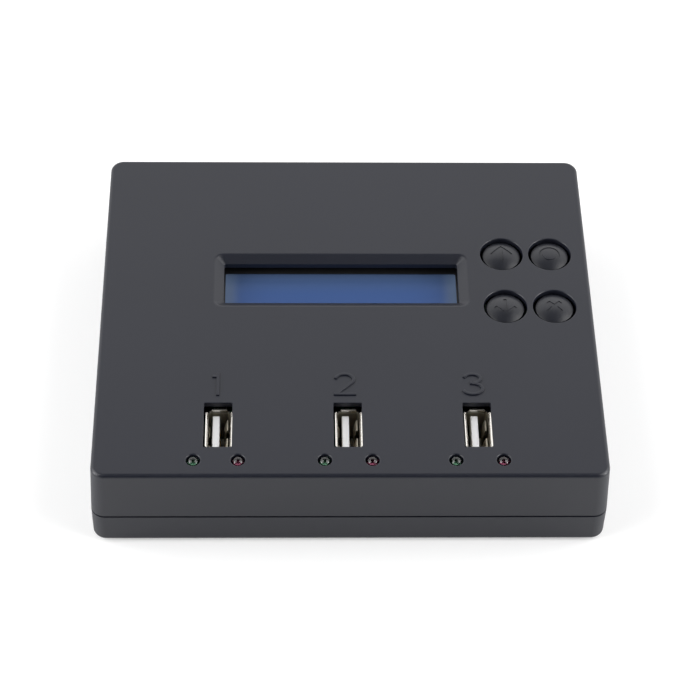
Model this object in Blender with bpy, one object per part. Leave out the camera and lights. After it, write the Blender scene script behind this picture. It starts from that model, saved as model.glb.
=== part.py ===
"""A desktop USB flash drive duplicator, about 130 x 112 x 27 mm.

Metres, +Z up. It stands on its rubber feet at z = 0, centred on the origin, its front towards -Y.
Two plastic shells hold a main board with three upright sockets, a display and four push buttons.
"""
import math

import bmesh
import bpy
from mathutils import Matrix, Vector


# General clearances
clearance = 0.0003
cut_overrun = 0.0010
weld_distance = 0.000001
smooth_angle = math.radians(35)

# Case
case_width = 0.1309
case_depth = 0.1127
case_height = 0.0260
foot_stand = 0.0006
parting_height = 0.00975
parting_gap = 0.0005
cover_draft = math.radians(2.6)
base_draft = math.radians(0.3)
corner_radius = 0.0035
top_fillet = 0.0011
base_fillet = 0.0013
side_wall = 0.0020
ceiling_wall = 0.0015
floor_wall = 0.0020
lip_thickness = 0.0007
lip_height = 0.0012

# Rubber feet
foot_radius = 0.0045
foot_recess_depth = 0.0009
foot_side_inset = 0.0200
foot_end_inset = 0.0100
foot_edge = 0.0002

# Case screws, up through the base into the cover's corner bosses
case_screw_inset = 0.0056
case_boss_radius = 0.0038
case_screw_radius = 0.0013
case_screw_length = 0.0120
case_head_radius = 0.0026
case_head_height = 0.0020
case_counterbore_depth = 0.0050
screw_slot_width = 0.0008
screw_slot_depth = 0.0010
bore_tip_space = 0.0008

# Main board, hung from the cover's bosses
board_thickness = 0.0016
board_side_margin = 0.0030
board_end_margin = 0.0009
board_notch_gap = 0.0013
board_screw_side_inset = 0.0060
board_screw_rear_inset = 0.0170
board_screw_front_inset = 0.0230
board_boss_radius = 0.0030
board_screw_radius = 0.0013
board_screw_length = 0.0080
board_head_radius = 0.0024
board_head_height = 0.0017
support_post_radius = 0.0030

# USB sockets, upright, in a row along the front
port_count = 3
port_pitch = 0.03285
port_middle_x = -0.00052
port_front_inset = 0.01684
port_opening_side_margin = 0.0002
port_opening_end_margin = 0.00005
socket_height = 0.0141
socket_shift = 0.00025
socket_bay_width = 0.00512
socket_bay_length = 0.0125
socket_sheet = 0.0003
socket_flare = 0.00055
socket_flare_height = 0.0009
socket_slit_depth = 0.0013
socket_side_lip_length = 0.0115
socket_end_lip_width = 0.00405
tongue_thickness = 0.00184
tongue_length = 0.0111
tongue_inset = 0.00125
tongue_shift = 0.00078
insulator_base_height = 0.0030
groove_width = 0.0016
groove_depth = 0.0004
groove_end_inset = 0.0006
groove_row_shares = (-1.0, -2 / 7, 2 / 7, 1.0)
groove_row_reach = 0.0035

# Status lights, 3 mm round, one green and one red in front of each socket. The first red one
# stands a little nearer to its green one than the others do.
light_diameter = 0.0030
light_height = 0.0053
light_flange_radius = 0.0019
light_flange_height = 0.0010
light_proud = 0.0008
light_hole_gap = 0.0004
light_reach = 0.00595
first_red_reach = 0.00525
light_front_inset = 0.00549
lead_width = 0.0005
lead_reach = 0.00127

# Push buttons, two rows of two
button_right_inset = 0.0107
button_rear_inset = 0.03652
button_pitch_x = 0.0130
button_pitch_y = 0.01895
button_travel = 0.0003
cap_radius = 0.00505
cap_gap = 0.0007
cap_rim_depth = 0.0013
cap_apex_rise = 0.00015
cap_skirt_height = 0.0020
cap_stem_radius = 0.0022
cap_ear_width = 0.0050
cap_ear_reach = 0.0019
cap_ear_thickness = 0.0012
hole_rim_radius = 0.0005
switch_width = 0.0060
switch_housing_height = 0.0035
switch_floor = 0.0007
switch_height = 0.0057
plunger_radius = 0.00175
dome_radius = 0.0016
dome_rise = 0.00030
dome_thickness = 0.00025

# Display recess in the cover
display_to_buttons = 0.04325
recess_depth = 0.0015
recess_side_run = 0.0026
recess_end_run = 0.00235
recess_corner_radius = 0.0023
window_width = 0.0625
window_length = 0.0141
window_corner_radius = 0.0005
window_lip_depth = 0.00295
window_pad_border = 0.0015

# Display module
frame_width = 0.0712
frame_length = 0.0252
frame_height = 0.0050
frame_sheet = 0.0003
frame_drop = 0.0052
view_width = 0.0645
view_length = 0.0158
view_corner_radius = 0.0006
glass_thickness = 0.0018
glass_side_gap = 0.0006
backlight_end_inset = 0.0022
strip_length_inset = 0.0010
strip_width = 0.0010
display_board_width = 0.0800
display_board_length = 0.0360
stake_reach_x = 0.0375
stake_reach_y = 0.0155
stake_boss_radius = 0.0024
stake_radius = 0.0010
stake_head_radius = 0.0018
stake_head_height = 0.0009
driver_radius = 0.0060
driver_height = 0.0010
header_pin_count = 16
header_pitch = 0.00254
header_pin_width = 0.00064
header_width = 0.0025
header_start_inset = 0.0080
pin_stand = 0.0008
pin_hole_radius = 0.0008

# Power inlet, behind
inlet_side_inset = 0.0270
inlet_width = 0.0090
inlet_length = 0.0142
inlet_height = 0.0110
inlet_axis_height = 0.0065
inlet_bore_radius = 0.00315
inlet_bore_depth = 0.0095
inlet_pin_radius = 0.0010
inlet_pin_inset = 0.0010
inlet_hole_radius = 0.0042
inlet_edge = 0.0004

# Electronics on the main board, in one row behind the sockets
chip_row_count = 6
chip_row_pitch = 0.0140
controller_width = 0.0100
controller_height = 0.0012
memory_width = 0.0080
memory_length = 0.0100
memory_height = 0.0010
crystal_width = 0.0114
crystal_length = 0.0047
crystal_height = 0.0035
regulator_width = 0.0065
regulator_length = 0.0035
regulator_height = 0.0016
regulator_tab_length = 0.0025
regulator_tab_width_share = 0.45
regulator_tab_height_share = 0.25
inductor_radius = 0.0040
inductor_height = 0.0045
inductor_flange = 0.0009
inductor_winding_inset = 0.0006
capacitor_radius = 0.00315
capacitor_height = 0.0054
capacitor_base_width = 0.0066
capacitor_base_height = 0.0008
chip_edge = 0.0002

# How finely round shapes are cut
corner_steps = 4
fillet_steps = 3
round_steps = 24
small_round_steps = 12
tiny_round_steps = 10
pin_hole_steps = 6
dome_steps = 4

# Heights and places that follow from the sizes above
underside_z = foot_stand
top_z = underside_z + case_height
ceiling_z = top_z - ceiling_wall
floor_z = underside_z + floor_wall
parting_z = underside_z + parting_height
base_top_z = parting_z - parting_gap / 2
cover_low_z = parting_z + parting_gap / 2
lip_top_z = base_top_z + lip_height
socket_low_z = ceiling_z - clearance - socket_height
board_top_z = socket_low_z - clearance
board_low_z = board_top_z - board_thickness
on_board_z = board_top_z + clearance
board_width = case_width - 2 * (side_wall + board_side_margin)
board_depth = case_depth - 2 * (side_wall + board_end_margin)
board_screw_x = board_width / 2 - board_screw_side_inset
board_screw_rear_y = board_depth / 2 - board_screw_rear_inset
board_screw_front_y = board_screw_front_inset - board_depth / 2
case_screw_x = case_width / 2 - case_screw_inset
case_screw_y = case_depth / 2 - case_screw_inset
foot_x = case_width / 2 - foot_side_inset
foot_y = case_depth / 2 - foot_end_inset
port_y = port_front_inset - case_depth / 2
port_places = [
    port_middle_x + (number - (port_count - 1) / 2) * port_pitch for number in range(port_count)
]
light_y = light_front_inset - case_depth / 2
light_places = {}
for number, port_x in enumerate(port_places, start=1):
    light_places[f"light_green_{number}"] = port_x - light_reach
    light_places[f"light_red_{number}"] = port_x + light_reach
light_places["light_red_1"] = port_places[0] + first_red_reach
light_low_z = top_z + light_proud - light_height
button_right_x = case_width / 2 - button_right_inset
button_left_x = button_right_x - button_pitch_x
button_rear_y = case_depth / 2 - button_rear_inset
button_front_y = button_rear_y - button_pitch_y
display_x = button_left_x - display_to_buttons
display_y = (button_rear_y + button_front_y) / 2
frame_top_z = top_z - frame_drop
frame_low_z = frame_top_z - frame_height
glass_top_z = frame_top_z - frame_sheet - clearance
glass_low_z = glass_top_z - glass_thickness
display_board_top_z = frame_low_z - clearance
display_board_low_z = display_board_top_z - board_thickness
inlet_x = inlet_side_inset - case_width / 2
inlet_axis_z = on_board_z + inlet_axis_height
corner_signs = [(side, end) for end in (-1, 1) for side in (-1, 1)]
corner_names = ["front_left", "front_right", "rear_left", "rear_right"]
button_places = {
    "up": (button_left_x, button_rear_y),
    "confirm": (button_right_x, button_rear_y),
    "down": (button_left_x, button_front_y),
    "cancel": (button_right_x, button_front_y),
}
board_screw_places = [
    (side * board_screw_x, y) for y in (board_screw_front_y, board_screw_rear_y) for side in (-1, 1)
]
stake_places = [
    (display_x + side * stake_reach_x, display_y + end * stake_reach_y) for side, end in corner_signs
]
case_screw_places = [(side * case_screw_x, end * case_screw_y) for side, end in corner_signs]
header_y = display_y + stake_reach_y
header_first_x = display_x - display_board_width / 2 + header_start_inset
header_pin_places = [
    (header_first_x + number * header_pitch, header_y) for number in range(header_pin_count)
]
header_x = (header_first_x + header_pin_places[-1][0]) / 2
socket_rear_y = port_y + socket_bay_length / 2 + socket_flare + socket_sheet
chip_row_y = (socket_rear_y + display_y - display_board_length / 2) / 2


# Mesh tools
def finished_mesh(bm, name, turned=False):
    """Close a bmesh into mesh data with its faces pointing out, round shapes shaded smooth."""
    bmesh.ops.remove_doubles(bm, verts=bm.verts, dist=weld_distance)
    bmesh.ops.recalc_face_normals(bm, faces=bm.faces)
    mesh = bpy.data.meshes.new(name)
    bm.to_mesh(mesh)
    bm.free()
    if turned:
        mesh.shade_smooth()
        mesh.set_sharp_from_angle(angle=smooth_angle)
    return mesh


def rounded_ring(width, depth, radius, z, centre=(0, 0)):
    """Points round a rectangle with rounded corners, seen from above, anticlockwise."""
    points = []
    for quarter in range(4):
        side = (1, -1, -1, 1)[quarter]
        end = (1, 1, -1, -1)[quarter]
        arc_x = centre[0] + side * (width / 2 - radius)
        arc_y = centre[1] + end * (depth / 2 - radius)
        for step in range(corner_steps + 1):
            angle = math.pi / 2 * (quarter + step / corner_steps)
            points.append(Vector((arc_x + radius * math.cos(angle), arc_y + radius * math.sin(angle), z)))
    return points


def stacked(name, rings, closed=False):
    """A solid through rings of points. Closed joins the last ring to the first, without end caps."""
    bm = bmesh.new()
    loops = [[bm.verts.new(point) for point in ring] for ring in rings]
    pairs = list(zip(loops, loops[1:]))
    if closed:
        pairs.append((loops[-1], loops[0]))
    else:
        bm.faces.new(loops[0])
        bm.faces.new(loops[-1])
    for lower, upper in pairs:
        for index in range(len(lower)):
            follower = (index + 1) % len(lower)
            bm.faces.new((lower[index], lower[follower], upper[follower], upper[index]))
    return finished_mesh(bm, name)


def block(name, width, depth, low_z, high_z, centre=(0, 0), edge=0):
    """A box between two heights, with small chamfers where an edge size is given."""
    bm = bmesh.new()
    size = Matrix.Diagonal((width, depth, high_z - low_z, 1))
    place = Matrix.Translation((centre[0], centre[1], (low_z + high_z) / 2))
    bmesh.ops.create_cube(bm, size=1, matrix=place @ size)
    if edge:
        bmesh.ops.bevel(bm, geom=bm.edges, offset=edge, segments=1, affect="EDGES")
    return finished_mesh(bm, name)


def rod(name, radius, low_z, high_z, centre=(0, 0), steps=small_round_steps):
    """An upright round bar between two heights."""
    bm = bmesh.new()
    place = Matrix.Translation((centre[0], centre[1], (low_z + high_z) / 2))
    bmesh.ops.create_cone(
        bm, cap_ends=True, segments=steps, radius1=radius, radius2=radius,
        depth=high_z - low_z, matrix=place,
    )
    return finished_mesh(bm, name, turned=True)


def level_rod(name, radius, front_y, rear_y, x, z, steps):
    """A round bar lying along Y."""
    bm = bmesh.new()
    place = Matrix.Translation((x, (front_y + rear_y) / 2, z)) @ Matrix.Rotation(math.pi / 2, 4, "X")
    bmesh.ops.create_cone(
        bm, cap_ends=True, segments=steps, radius1=radius, radius2=radius,
        depth=rear_y - front_y, matrix=place,
    )
    return finished_mesh(bm, name, turned=True)


def turned(name, profile, steps, centre=(0, 0)):
    """Spin a profile of (radius, z) points, which starts and ends on the axis or closes on itself."""
    bm = bmesh.new()
    points = [bm.verts.new((centre[0] + radius, centre[1], z)) for radius, z in profile]
    edges = [bm.edges.new(pair) for pair in zip(points, points[1:])]
    bmesh.ops.spin(
        bm, geom=points + edges, cent=(centre[0], centre[1], 0), axis=(0, 0, 1), angle=math.tau, steps=steps
    )
    return finished_mesh(bm, name, turned=True)


def combined(body, operation, tools):
    """One mesh joined with, or cut by, several others."""
    scene = bpy.context.scene.collection
    target = bpy.data.objects.new("target", body)
    scene.objects.link(target)
    group = bpy.data.collections.new("tools")
    scene.children.link(group)
    for tool in tools:
        group.objects.link(bpy.data.objects.new("tool", tool))
    modifier = target.modifiers.new("combine", "BOOLEAN")
    modifier.operation = operation
    modifier.solver = "EXACT"
    modifier.operand_type = "COLLECTION"
    modifier.collection = group
    graph = bpy.context.evaluated_depsgraph_get()
    result = bpy.data.meshes.new_from_object(target.evaluated_get(graph))
    result.name = body.name
    for tool in list(group.objects):
        bpy.data.objects.remove(tool)
    bpy.data.collections.remove(group)
    bpy.data.objects.remove(target)
    return result


def finish(name, colour, roughness, metallic=0.0):
    """A plain surface finish in one colour."""
    material = bpy.data.materials.new(name)
    material.use_nodes = True
    shader = material.node_tree.nodes["Principled BSDF"]
    shader.inputs["Base Color"].default_value = (*colour, 1)
    shader.inputs["Roughness"].default_value = roughness
    shader.inputs["Metallic"].default_value = metallic
    return material


def add_piece(name, mesh, material, place=(0, 0, 0), parent=None):
    """Place one named piece, with its finish on every face."""
    piece = bpy.data.objects.new(name, mesh)
    bpy.context.scene.collection.objects.link(piece)
    piece.location = place
    piece.parent = parent
    mesh.materials.clear()
    mesh.materials.append(material)
    return piece


def fillet_rings(width, depth, radius, z, fillet, upward):
    """Rings over a rounded outer edge: up to a top face at z, or up from an underside at z."""
    rings = []
    for step in range(fillet_steps + 1):
        share = step / fillet_steps if upward else 1 - step / fillet_steps
        angle = math.pi / 2 * share
        inset = fillet * (1 - math.cos(angle))
        fall = fillet * (1 - math.sin(angle))
        ring_z = z - fall if upward else z + fall
        rings.append(rounded_ring(width - 2 * inset, depth - 2 * inset, radius - inset, ring_z))
    return rings


# Case shells
def cover_inset(z):
    """How far the cover's drafted side has drawn in at a height."""
    return math.tan(cover_draft) * (z - cover_low_z)


def base_inset(z):
    """How far the base's drafted side has drawn in at a height."""
    return math.tan(base_draft) * (base_top_z - z)


def case_ring(inset, radius_inset, z):
    """The case's outline seen from above, drawn in by an inset."""
    return rounded_ring(case_width - 2 * inset, case_depth - 2 * inset, corner_radius - radius_inset, z)


def screw_bore(name, screw_radius, low_z, high_z, centre):
    """A cutter for a hole round a screw's shank."""
    return rod(name, screw_radius + clearance, low_z, high_z, centre, tiny_round_steps)


def display_stake(root_z, place):
    """A post that the display's board seats on, its pin melted over into a head below the board."""
    head_top_z = display_board_low_z - clearance
    seat_z = display_board_top_z + clearance
    return turned("stake", [
        (0, head_top_z - stake_head_height), (stake_head_radius, head_top_z - stake_head_height),
        (stake_head_radius, head_top_z), (stake_radius, head_top_z), (stake_radius, seat_z),
        (stake_boss_radius, seat_z), (stake_boss_radius, root_z), (0, root_z),
    ], small_round_steps, place)


def make_top_cover():
    """The drafted upper shell, its bosses, and every opening in it."""
    drawn_in = cover_inset(top_z)
    upper = fillet_rings(
        case_width - 2 * drawn_in, case_depth - 2 * drawn_in, corner_radius, top_z, top_fillet, True
    )
    joint_z = lip_top_z + clearance
    joint_inset = side_wall - lip_thickness - clearance
    shell = stacked("top_cover", [
        case_ring(side_wall + cover_inset(ceiling_z), side_wall, ceiling_z),
        case_ring(side_wall + cover_inset(joint_z), side_wall, joint_z),
        case_ring(joint_inset, joint_inset, joint_z),
        case_ring(joint_inset, joint_inset, cover_low_z),
        case_ring(0, 0, cover_low_z),
        *upper,
    ])
    root_z = ceiling_z + ceiling_wall / 2
    recess_width = window_width + 2 * recess_side_run
    recess_length = window_length + 2 * recess_end_run
    display = (display_x, display_y)
    pad_width = recess_width + 2 * window_pad_border
    pad_length = recess_length + 2 * window_pad_border
    pad = stacked("window_pad", [
        rounded_ring(pad_width, pad_length, recess_corner_radius, z, display)
        for z in (top_z - window_lip_depth, root_z)
    ])
    bosses = [rod("boss", case_boss_radius, joint_z, root_z, place) for place in case_screw_places]
    bosses += [rod("boss", board_boss_radius, on_board_z, root_z, place) for place in board_screw_places]
    bosses += [display_stake(root_z, place) for place in stake_places]
    window = (window_width, window_length, window_corner_radius)
    recess = (recess_width, recess_length, recess_corner_radius)
    cutters = [stacked("display_window", [
        rounded_ring(*window, top_z - window_lip_depth - cut_overrun, display),
        rounded_ring(*window, top_z - recess_depth, display),
        rounded_ring(*recess, top_z, display),
        rounded_ring(*recess, top_z + cut_overrun, display),
    ])]
    hole_radius = cap_radius + cap_gap
    for place in button_places.values():
        profile = [(0, ceiling_z - cut_overrun), (hole_radius, ceiling_z - cut_overrun)]
        for step in range(fillet_steps + 1):
            angle = math.pi / 2 * step / fillet_steps
            radius = hole_radius + hole_rim_radius * (1 - math.cos(angle))
            profile.append((radius, top_z - hole_rim_radius * (1 - math.sin(angle))))
        profile.append((hole_radius + hole_rim_radius, top_z + cut_overrun))
        profile.append((0, top_z + cut_overrun))
        cutters.append(turned("button_hole", profile, round_steps, place))
    lip_reach = socket_sheet + socket_flare
    opening_width = socket_bay_width + 2 * (lip_reach + port_opening_side_margin)
    opening_length = socket_bay_length + 2 * (lip_reach + port_opening_end_margin)
    through = (ceiling_z - cut_overrun, top_z + cut_overrun)
    for port_x in port_places:
        place = (port_x, port_y)
        cutters.append(block("port_opening", opening_width, opening_length, *through, place))
    for light_x in light_places.values():
        place = (light_x, light_y)
        cutters.append(rod("light_hole", light_diameter / 2 + light_hole_gap, *through, place))
    cutters.append(level_rod(
        "inlet_hole", inlet_hole_radius, case_depth / 2 - side_wall - cut_overrun,
        case_depth / 2 + cut_overrun, inlet_x, inlet_axis_z, small_round_steps,
    ))
    case_tip_z = underside_z + case_counterbore_depth + case_screw_length + bore_tip_space
    board_tip_z = board_low_z + board_screw_length + bore_tip_space
    cutters += [
        screw_bore("bore", case_screw_radius, joint_z - cut_overrun, case_tip_z, place)
        for place in case_screw_places
    ]
    cutters += [
        screw_bore("bore", board_screw_radius, board_low_z, board_tip_z, place)
        for place in board_screw_places
    ]
    mesh = combined(combined(shell, "UNION", [pad, *bosses]), "DIFFERENCE", cutters)
    add_piece("top_cover", mesh, finish("case_plastic", (0.067, 0.069, 0.078), 0.55))


def make_base_cover():
    """The lower shell, with its joint lip, screw bosses, board supports and foot recesses."""
    lip_inset = side_wall - lip_thickness
    drawn_in = base_inset(underside_z)
    lower = fillet_rings(
        case_width - 2 * drawn_in, case_depth - 2 * drawn_in, corner_radius,
        underside_z, base_fillet, False,
    )
    shell = stacked("base_cover", [
        *lower,
        case_ring(0, 0, base_top_z),
        case_ring(lip_inset, lip_inset, base_top_z),
        case_ring(lip_inset, lip_inset, lip_top_z),
        case_ring(side_wall, side_wall, lip_top_z),
        case_ring(side_wall + base_inset(floor_z), side_wall, floor_z),
    ])
    root_z = underside_z + floor_wall / 2
    posts = [
        rod("boss", case_boss_radius, root_z, base_top_z, place) for place in case_screw_places
    ]
    support_places = [(port_x, port_y) for port_x in port_places]
    support_places.append(((button_left_x + button_right_x) / 2, display_y))
    support_places.append((display_x, display_y))
    support_high_z = board_low_z - clearance
    posts += [
        rod("support", support_post_radius, root_z, support_high_z, place)
        for place in support_places
    ]
    cutters = []
    below_z = underside_z - cut_overrun
    recess_high_z = underside_z + foot_recess_depth
    for side, end in corner_signs:
        place = (side * foot_x, end * foot_y)
        cutters.append(
            rod("foot_recess", foot_radius + clearance, below_z, recess_high_z, place, round_steps)
        )
    seat_z = underside_z + case_counterbore_depth
    hole_high_z = base_top_z + cut_overrun
    for place in case_screw_places:
        cutters.append(rod("counterbore", case_head_radius + clearance, below_z, seat_z, place))
        cutters.append(screw_bore("hole", case_screw_radius, below_z, hole_high_z, place))
    mesh = combined(combined(shell, "UNION", posts), "DIFFERENCE", cutters)
    add_piece("base_cover", mesh, finish("case_plastic_base", (0.060, 0.062, 0.070), 0.55))


def make_feet():
    """Four round rubber feet, each in its recess under the base."""
    rubber = finish("foot_rubber", (0.02, 0.02, 0.02), 0.9)
    high_z = underside_z + foot_recess_depth - clearance
    profile = [
        (0, 0), (foot_radius - foot_edge, 0), (foot_radius, foot_edge), (foot_radius, high_z),
        (0, high_z),
    ]
    mesh = turned("foot", profile, round_steps)
    for (side, end), corner in zip(corner_signs, corner_names):
        add_piece(f"foot_{corner}", mesh, rubber, (side * foot_x, end * foot_y, 0))


# Screws
def screw(radius, length, head_radius, head_height):
    """A pan head screw with its head hanging below z = 0, where it seats, and a cross slot in it."""
    body = turned("screw", [
        (0, -head_height), (head_radius, -head_height), (head_radius, 0), (radius, 0),
        (radius, length - radius), (0, length),
    ], small_round_steps)
    slots = [
        block("slot", width, depth, -head_height - cut_overrun, screw_slot_depth - head_height)
        for width, depth in ((head_radius, screw_slot_width), (screw_slot_width, head_radius))
    ]
    return combined(body, "DIFFERENCE", slots)


def make_screws():
    """Four case screws and four board screws."""
    steel = finish("screw_steel", (0.35, 0.35, 0.36), 0.35, 1.0)
    sets = {
        "case_screw": (
            case_screw_radius, case_screw_length, case_head_radius, case_head_height,
            underside_z + case_counterbore_depth - clearance, case_screw_places,
        ),
        "board_screw": (
            board_screw_radius, board_screw_length, board_head_radius, board_head_height,
            board_low_z - clearance, board_screw_places,
        ),
    }
    for name, (radius, length, head_radius, head_height, seat_z, places) in sets.items():
        mesh = screw(radius, length, head_radius, head_height)
        for (x, y), corner in zip(places, corner_names):
            add_piece(f"{name}_{corner}", mesh, steel, (x, y, seat_z))


# Boards
def make_main_board():
    """The main circuit board, cut away at its corners for the case screws' bosses."""
    laminate = finish("board_laminate", (0.01, 0.10, 0.04), 0.4)
    body = block("main_board", board_width, board_depth, board_low_z, board_top_z)
    low_z = board_low_z - cut_overrun
    high_z = board_top_z + cut_overrun
    cutters = [
        screw_bore("hole", board_screw_radius, low_z, high_z, place)
        for place in board_screw_places
    ]
    near_x = case_screw_x - case_boss_radius - board_notch_gap
    near_y = case_screw_y - case_boss_radius - board_notch_gap
    notch_width = case_width / 2 - near_x
    notch_length = case_depth / 2 - near_y
    for side, end in corner_signs:
        centre = (side * (near_x + notch_width / 2), end * (near_y + notch_length / 2))
        cutters.append(block("notch", notch_width, notch_length, low_z, high_z, centre))
    add_piece("main_board", combined(body, "DIFFERENCE", cutters), laminate)


def make_display():
    """The display module: metal frame, glass, backlight, elastomer strips, board and drivers."""
    display = (display_x, display_y)
    body = block("display_frame", frame_width, frame_length, frame_low_z, frame_top_z, display)
    inside_width = frame_width - 2 * frame_sheet
    inside_length = frame_length - 2 * frame_sheet
    cavity = block(
        "cavity", inside_width, inside_length, frame_low_z - cut_overrun,
        frame_top_z - frame_sheet, display,
    )
    view = stacked("view", [
        rounded_ring(view_width, view_length, view_corner_radius, z, display)
        for z in (frame_top_z - frame_sheet - cut_overrun, frame_top_z + cut_overrun)
    ])
    mesh = combined(body, "DIFFERENCE", [cavity, view])
    add_piece("display_frame", mesh, finish("frame_metal", (0.01, 0.01, 0.011), 0.45, 1.0))

    glass_width = inside_width - 2 * glass_side_gap
    glass_length = inside_length - 2 * glass_side_gap
    mesh = block(
        "display_glass", glass_width, glass_length, glass_low_z, glass_top_z, display, chip_edge
    )
    add_piece("display_glass", mesh, finish("display_blue", (0.06, 0.11, 0.25), 0.15))

    low_z = display_board_top_z + clearance
    high_z = glass_low_z - clearance
    backlight_length = glass_length - 2 * backlight_end_inset
    mesh = block(
        "display_backlight", glass_width, backlight_length, low_z, high_z, display, chip_edge
    )
    add_piece("display_backlight", mesh, finish("backlight_acrylic", (0.8, 0.82, 0.85), 0.3))

    strip_y = (glass_length + backlight_length) / 4
    strip_rubber = finish("strip_rubber", (0.25, 0.03, 0.03), 0.8)
    strip_length = glass_width - 2 * strip_length_inset
    for end, name in ((-1, "display_strip_front"), (1, "display_strip_rear")):
        place = (display_x, display_y + end * strip_y)
        mesh = block(name, strip_length, strip_width, low_z, high_z, place)
        add_piece(name, mesh, strip_rubber)

    board = block(
        "display_board", display_board_width, display_board_length, display_board_low_z,
        display_board_top_z, display,
    )
    low_z = display_board_low_z - cut_overrun
    high_z = display_board_top_z + cut_overrun
    cutters = [screw_bore("hole", stake_radius, low_z, high_z, place) for place in stake_places]
    cutters += [
        rod("hole", pin_hole_radius, low_z, high_z, place, pin_hole_steps)
        for place in header_pin_places
    ]
    mesh = combined(board, "DIFFERENCE", cutters)
    add_piece("display_board", mesh, finish("display_laminate", (0.01, 0.08, 0.05), 0.4))

    high_z = display_board_low_z - clearance
    profile = [(0, high_z - driver_height)]
    for step in range(1, fillet_steps + 1):
        angle = math.pi / 2 * step / fillet_steps
        profile.append((driver_radius * math.sin(angle), high_z - driver_height * math.cos(angle)))
    profile.append((0, high_z))
    mesh = turned("display_driver", profile, small_round_steps, display)
    add_piece("display_driver", mesh, finish("driver_epoxy", (0.01, 0.01, 0.01), 0.35))

    pin_root_z = (on_board_z + high_z) / 2
    pin_high_z = display_board_top_z + pin_stand
    body = block(
        "display_header", header_pin_count * header_pitch, header_width, on_board_z, high_z,
        (header_x, header_y), chip_edge,
    )
    pins = [
        block("pin", header_pin_width, header_pin_width, pin_root_z, pin_high_z, place)
        for place in header_pin_places
    ]
    mesh = combined(body, "UNION", pins)
    add_piece("display_header", mesh, finish("header_plastic", (0.01, 0.01, 0.01), 0.5))


# USB sockets, built round their own middle with z = 0 at the board end
def socket_ring(outset, z):
    """The socket's bay, grown by an outset on every side."""
    radius = socket_sheet + clearance + outset
    width = socket_bay_width + 2 * outset
    return rounded_ring(width, socket_bay_length + 2 * outset, radius, z)


def socket_shell_mesh():
    """A drawn sheet metal tube whose four lips flare out at the mouth."""
    neck_z = socket_height - socket_flare_height
    tube = stacked("usb_shell", [
        socket_ring(socket_sheet, 0),
        socket_ring(socket_sheet, neck_z),
        socket_ring(socket_sheet + socket_flare, socket_height),
        socket_ring(socket_flare, socket_height),
        socket_ring(0, neck_z),
        socket_ring(0, 0),
    ], closed=True)
    slits = []
    reach = socket_flare + socket_sheet + cut_overrun
    near_x = socket_end_lip_width / 2
    far_x = socket_bay_width / 2 + reach
    near_y = socket_side_lip_length / 2
    far_y = socket_bay_length / 2 + reach
    slit_low_z = socket_height - socket_slit_depth
    slit_high_z = socket_height + cut_overrun
    for side, end in corner_signs:
        centre = (side * (near_x + far_x) / 2, end * (near_y + far_y) / 2)
        slits.append(
            block("slit", far_x - near_x, far_y - near_y, slit_low_z, slit_high_z, centre)
        )
    return combined(tube, "DIFFERENCE", slits)


def insulator_mesh():
    """The moulded insulator: a foot that fills the shell, and the tongue that stands in it."""
    foot = block(
        "usb_insulator", socket_bay_width - 2 * clearance, socket_bay_length - 2 * clearance, 0,
        insulator_base_height,
    )
    tongue_high_z = socket_height - tongue_inset
    tongue = block(
        "tongue", tongue_thickness, tongue_length, insulator_base_height / 2, tongue_high_z,
        (-tongue_shift, 0),
    )
    face_x = tongue_thickness / 2 - tongue_shift
    groove_high_z = tongue_high_z - groove_end_inset
    grooves = []
    for share in groove_row_shares:
        place = (face_x, share * groove_row_reach)
        grooves.append(
            block("groove", 2 * groove_depth, groove_width, insulator_base_height, groove_high_z, place)
        )
    return combined(combined(foot, "UNION", [tongue]), "DIFFERENCE", grooves)


def make_sockets():
    """Three alike sockets, each a shell round an insulator."""
    nickel = finish("socket_nickel", (0.80, 0.76, 0.70), 0.25, 1.0)
    white = finish("insulator_white", (0.86, 0.86, 0.88), 0.4)
    shell = socket_shell_mesh()
    insulator = insulator_mesh()
    for number, port_x in enumerate(port_places, start=1):
        place = (port_x + socket_shift, port_y, socket_low_z)
        add_piece(f"usb_shell_{number}", shell, nickel, place)
        add_piece(f"usb_insulator_{number}", insulator, white, place)


# Status lights
def light_mesh():
    """A domed round light with its flange, on two long leads down to the board."""
    radius = light_diameter / 2
    profile = [
        (0, 0), (light_flange_radius, 0), (light_flange_radius, light_flange_height),
        (radius, light_flange_height),
    ]
    for step in range(dome_steps + 1):
        angle = math.pi / 2 * step / dome_steps
        profile.append((radius * math.cos(angle), light_height - radius * (1 - math.sin(angle))))
    body = turned("light", profile, small_round_steps)
    lead_low_z = on_board_z - light_low_z
    leads = [
        block("lead", lead_width, lead_width, lead_low_z, light_flange_height / 2, place)
        for place in ((-lead_reach, 0), (lead_reach, 0))
    ]
    return combined(body, "UNION", leads)


def make_lights():
    """A green and a red light before each socket."""
    green = finish("light_green", (0.02, 0.10, 0.03), 0.1)
    red = finish("light_red", (0.10, 0.01, 0.02), 0.1)
    green_mesh = light_mesh()
    red_mesh = light_mesh()
    for name, light_x in light_places.items():
        place = (light_x, light_y, light_low_z)
        if name.startswith("light_green"):
            add_piece(name, green_mesh, green, place)
        else:
            add_piece(name, red_mesh, red, place)


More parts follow.
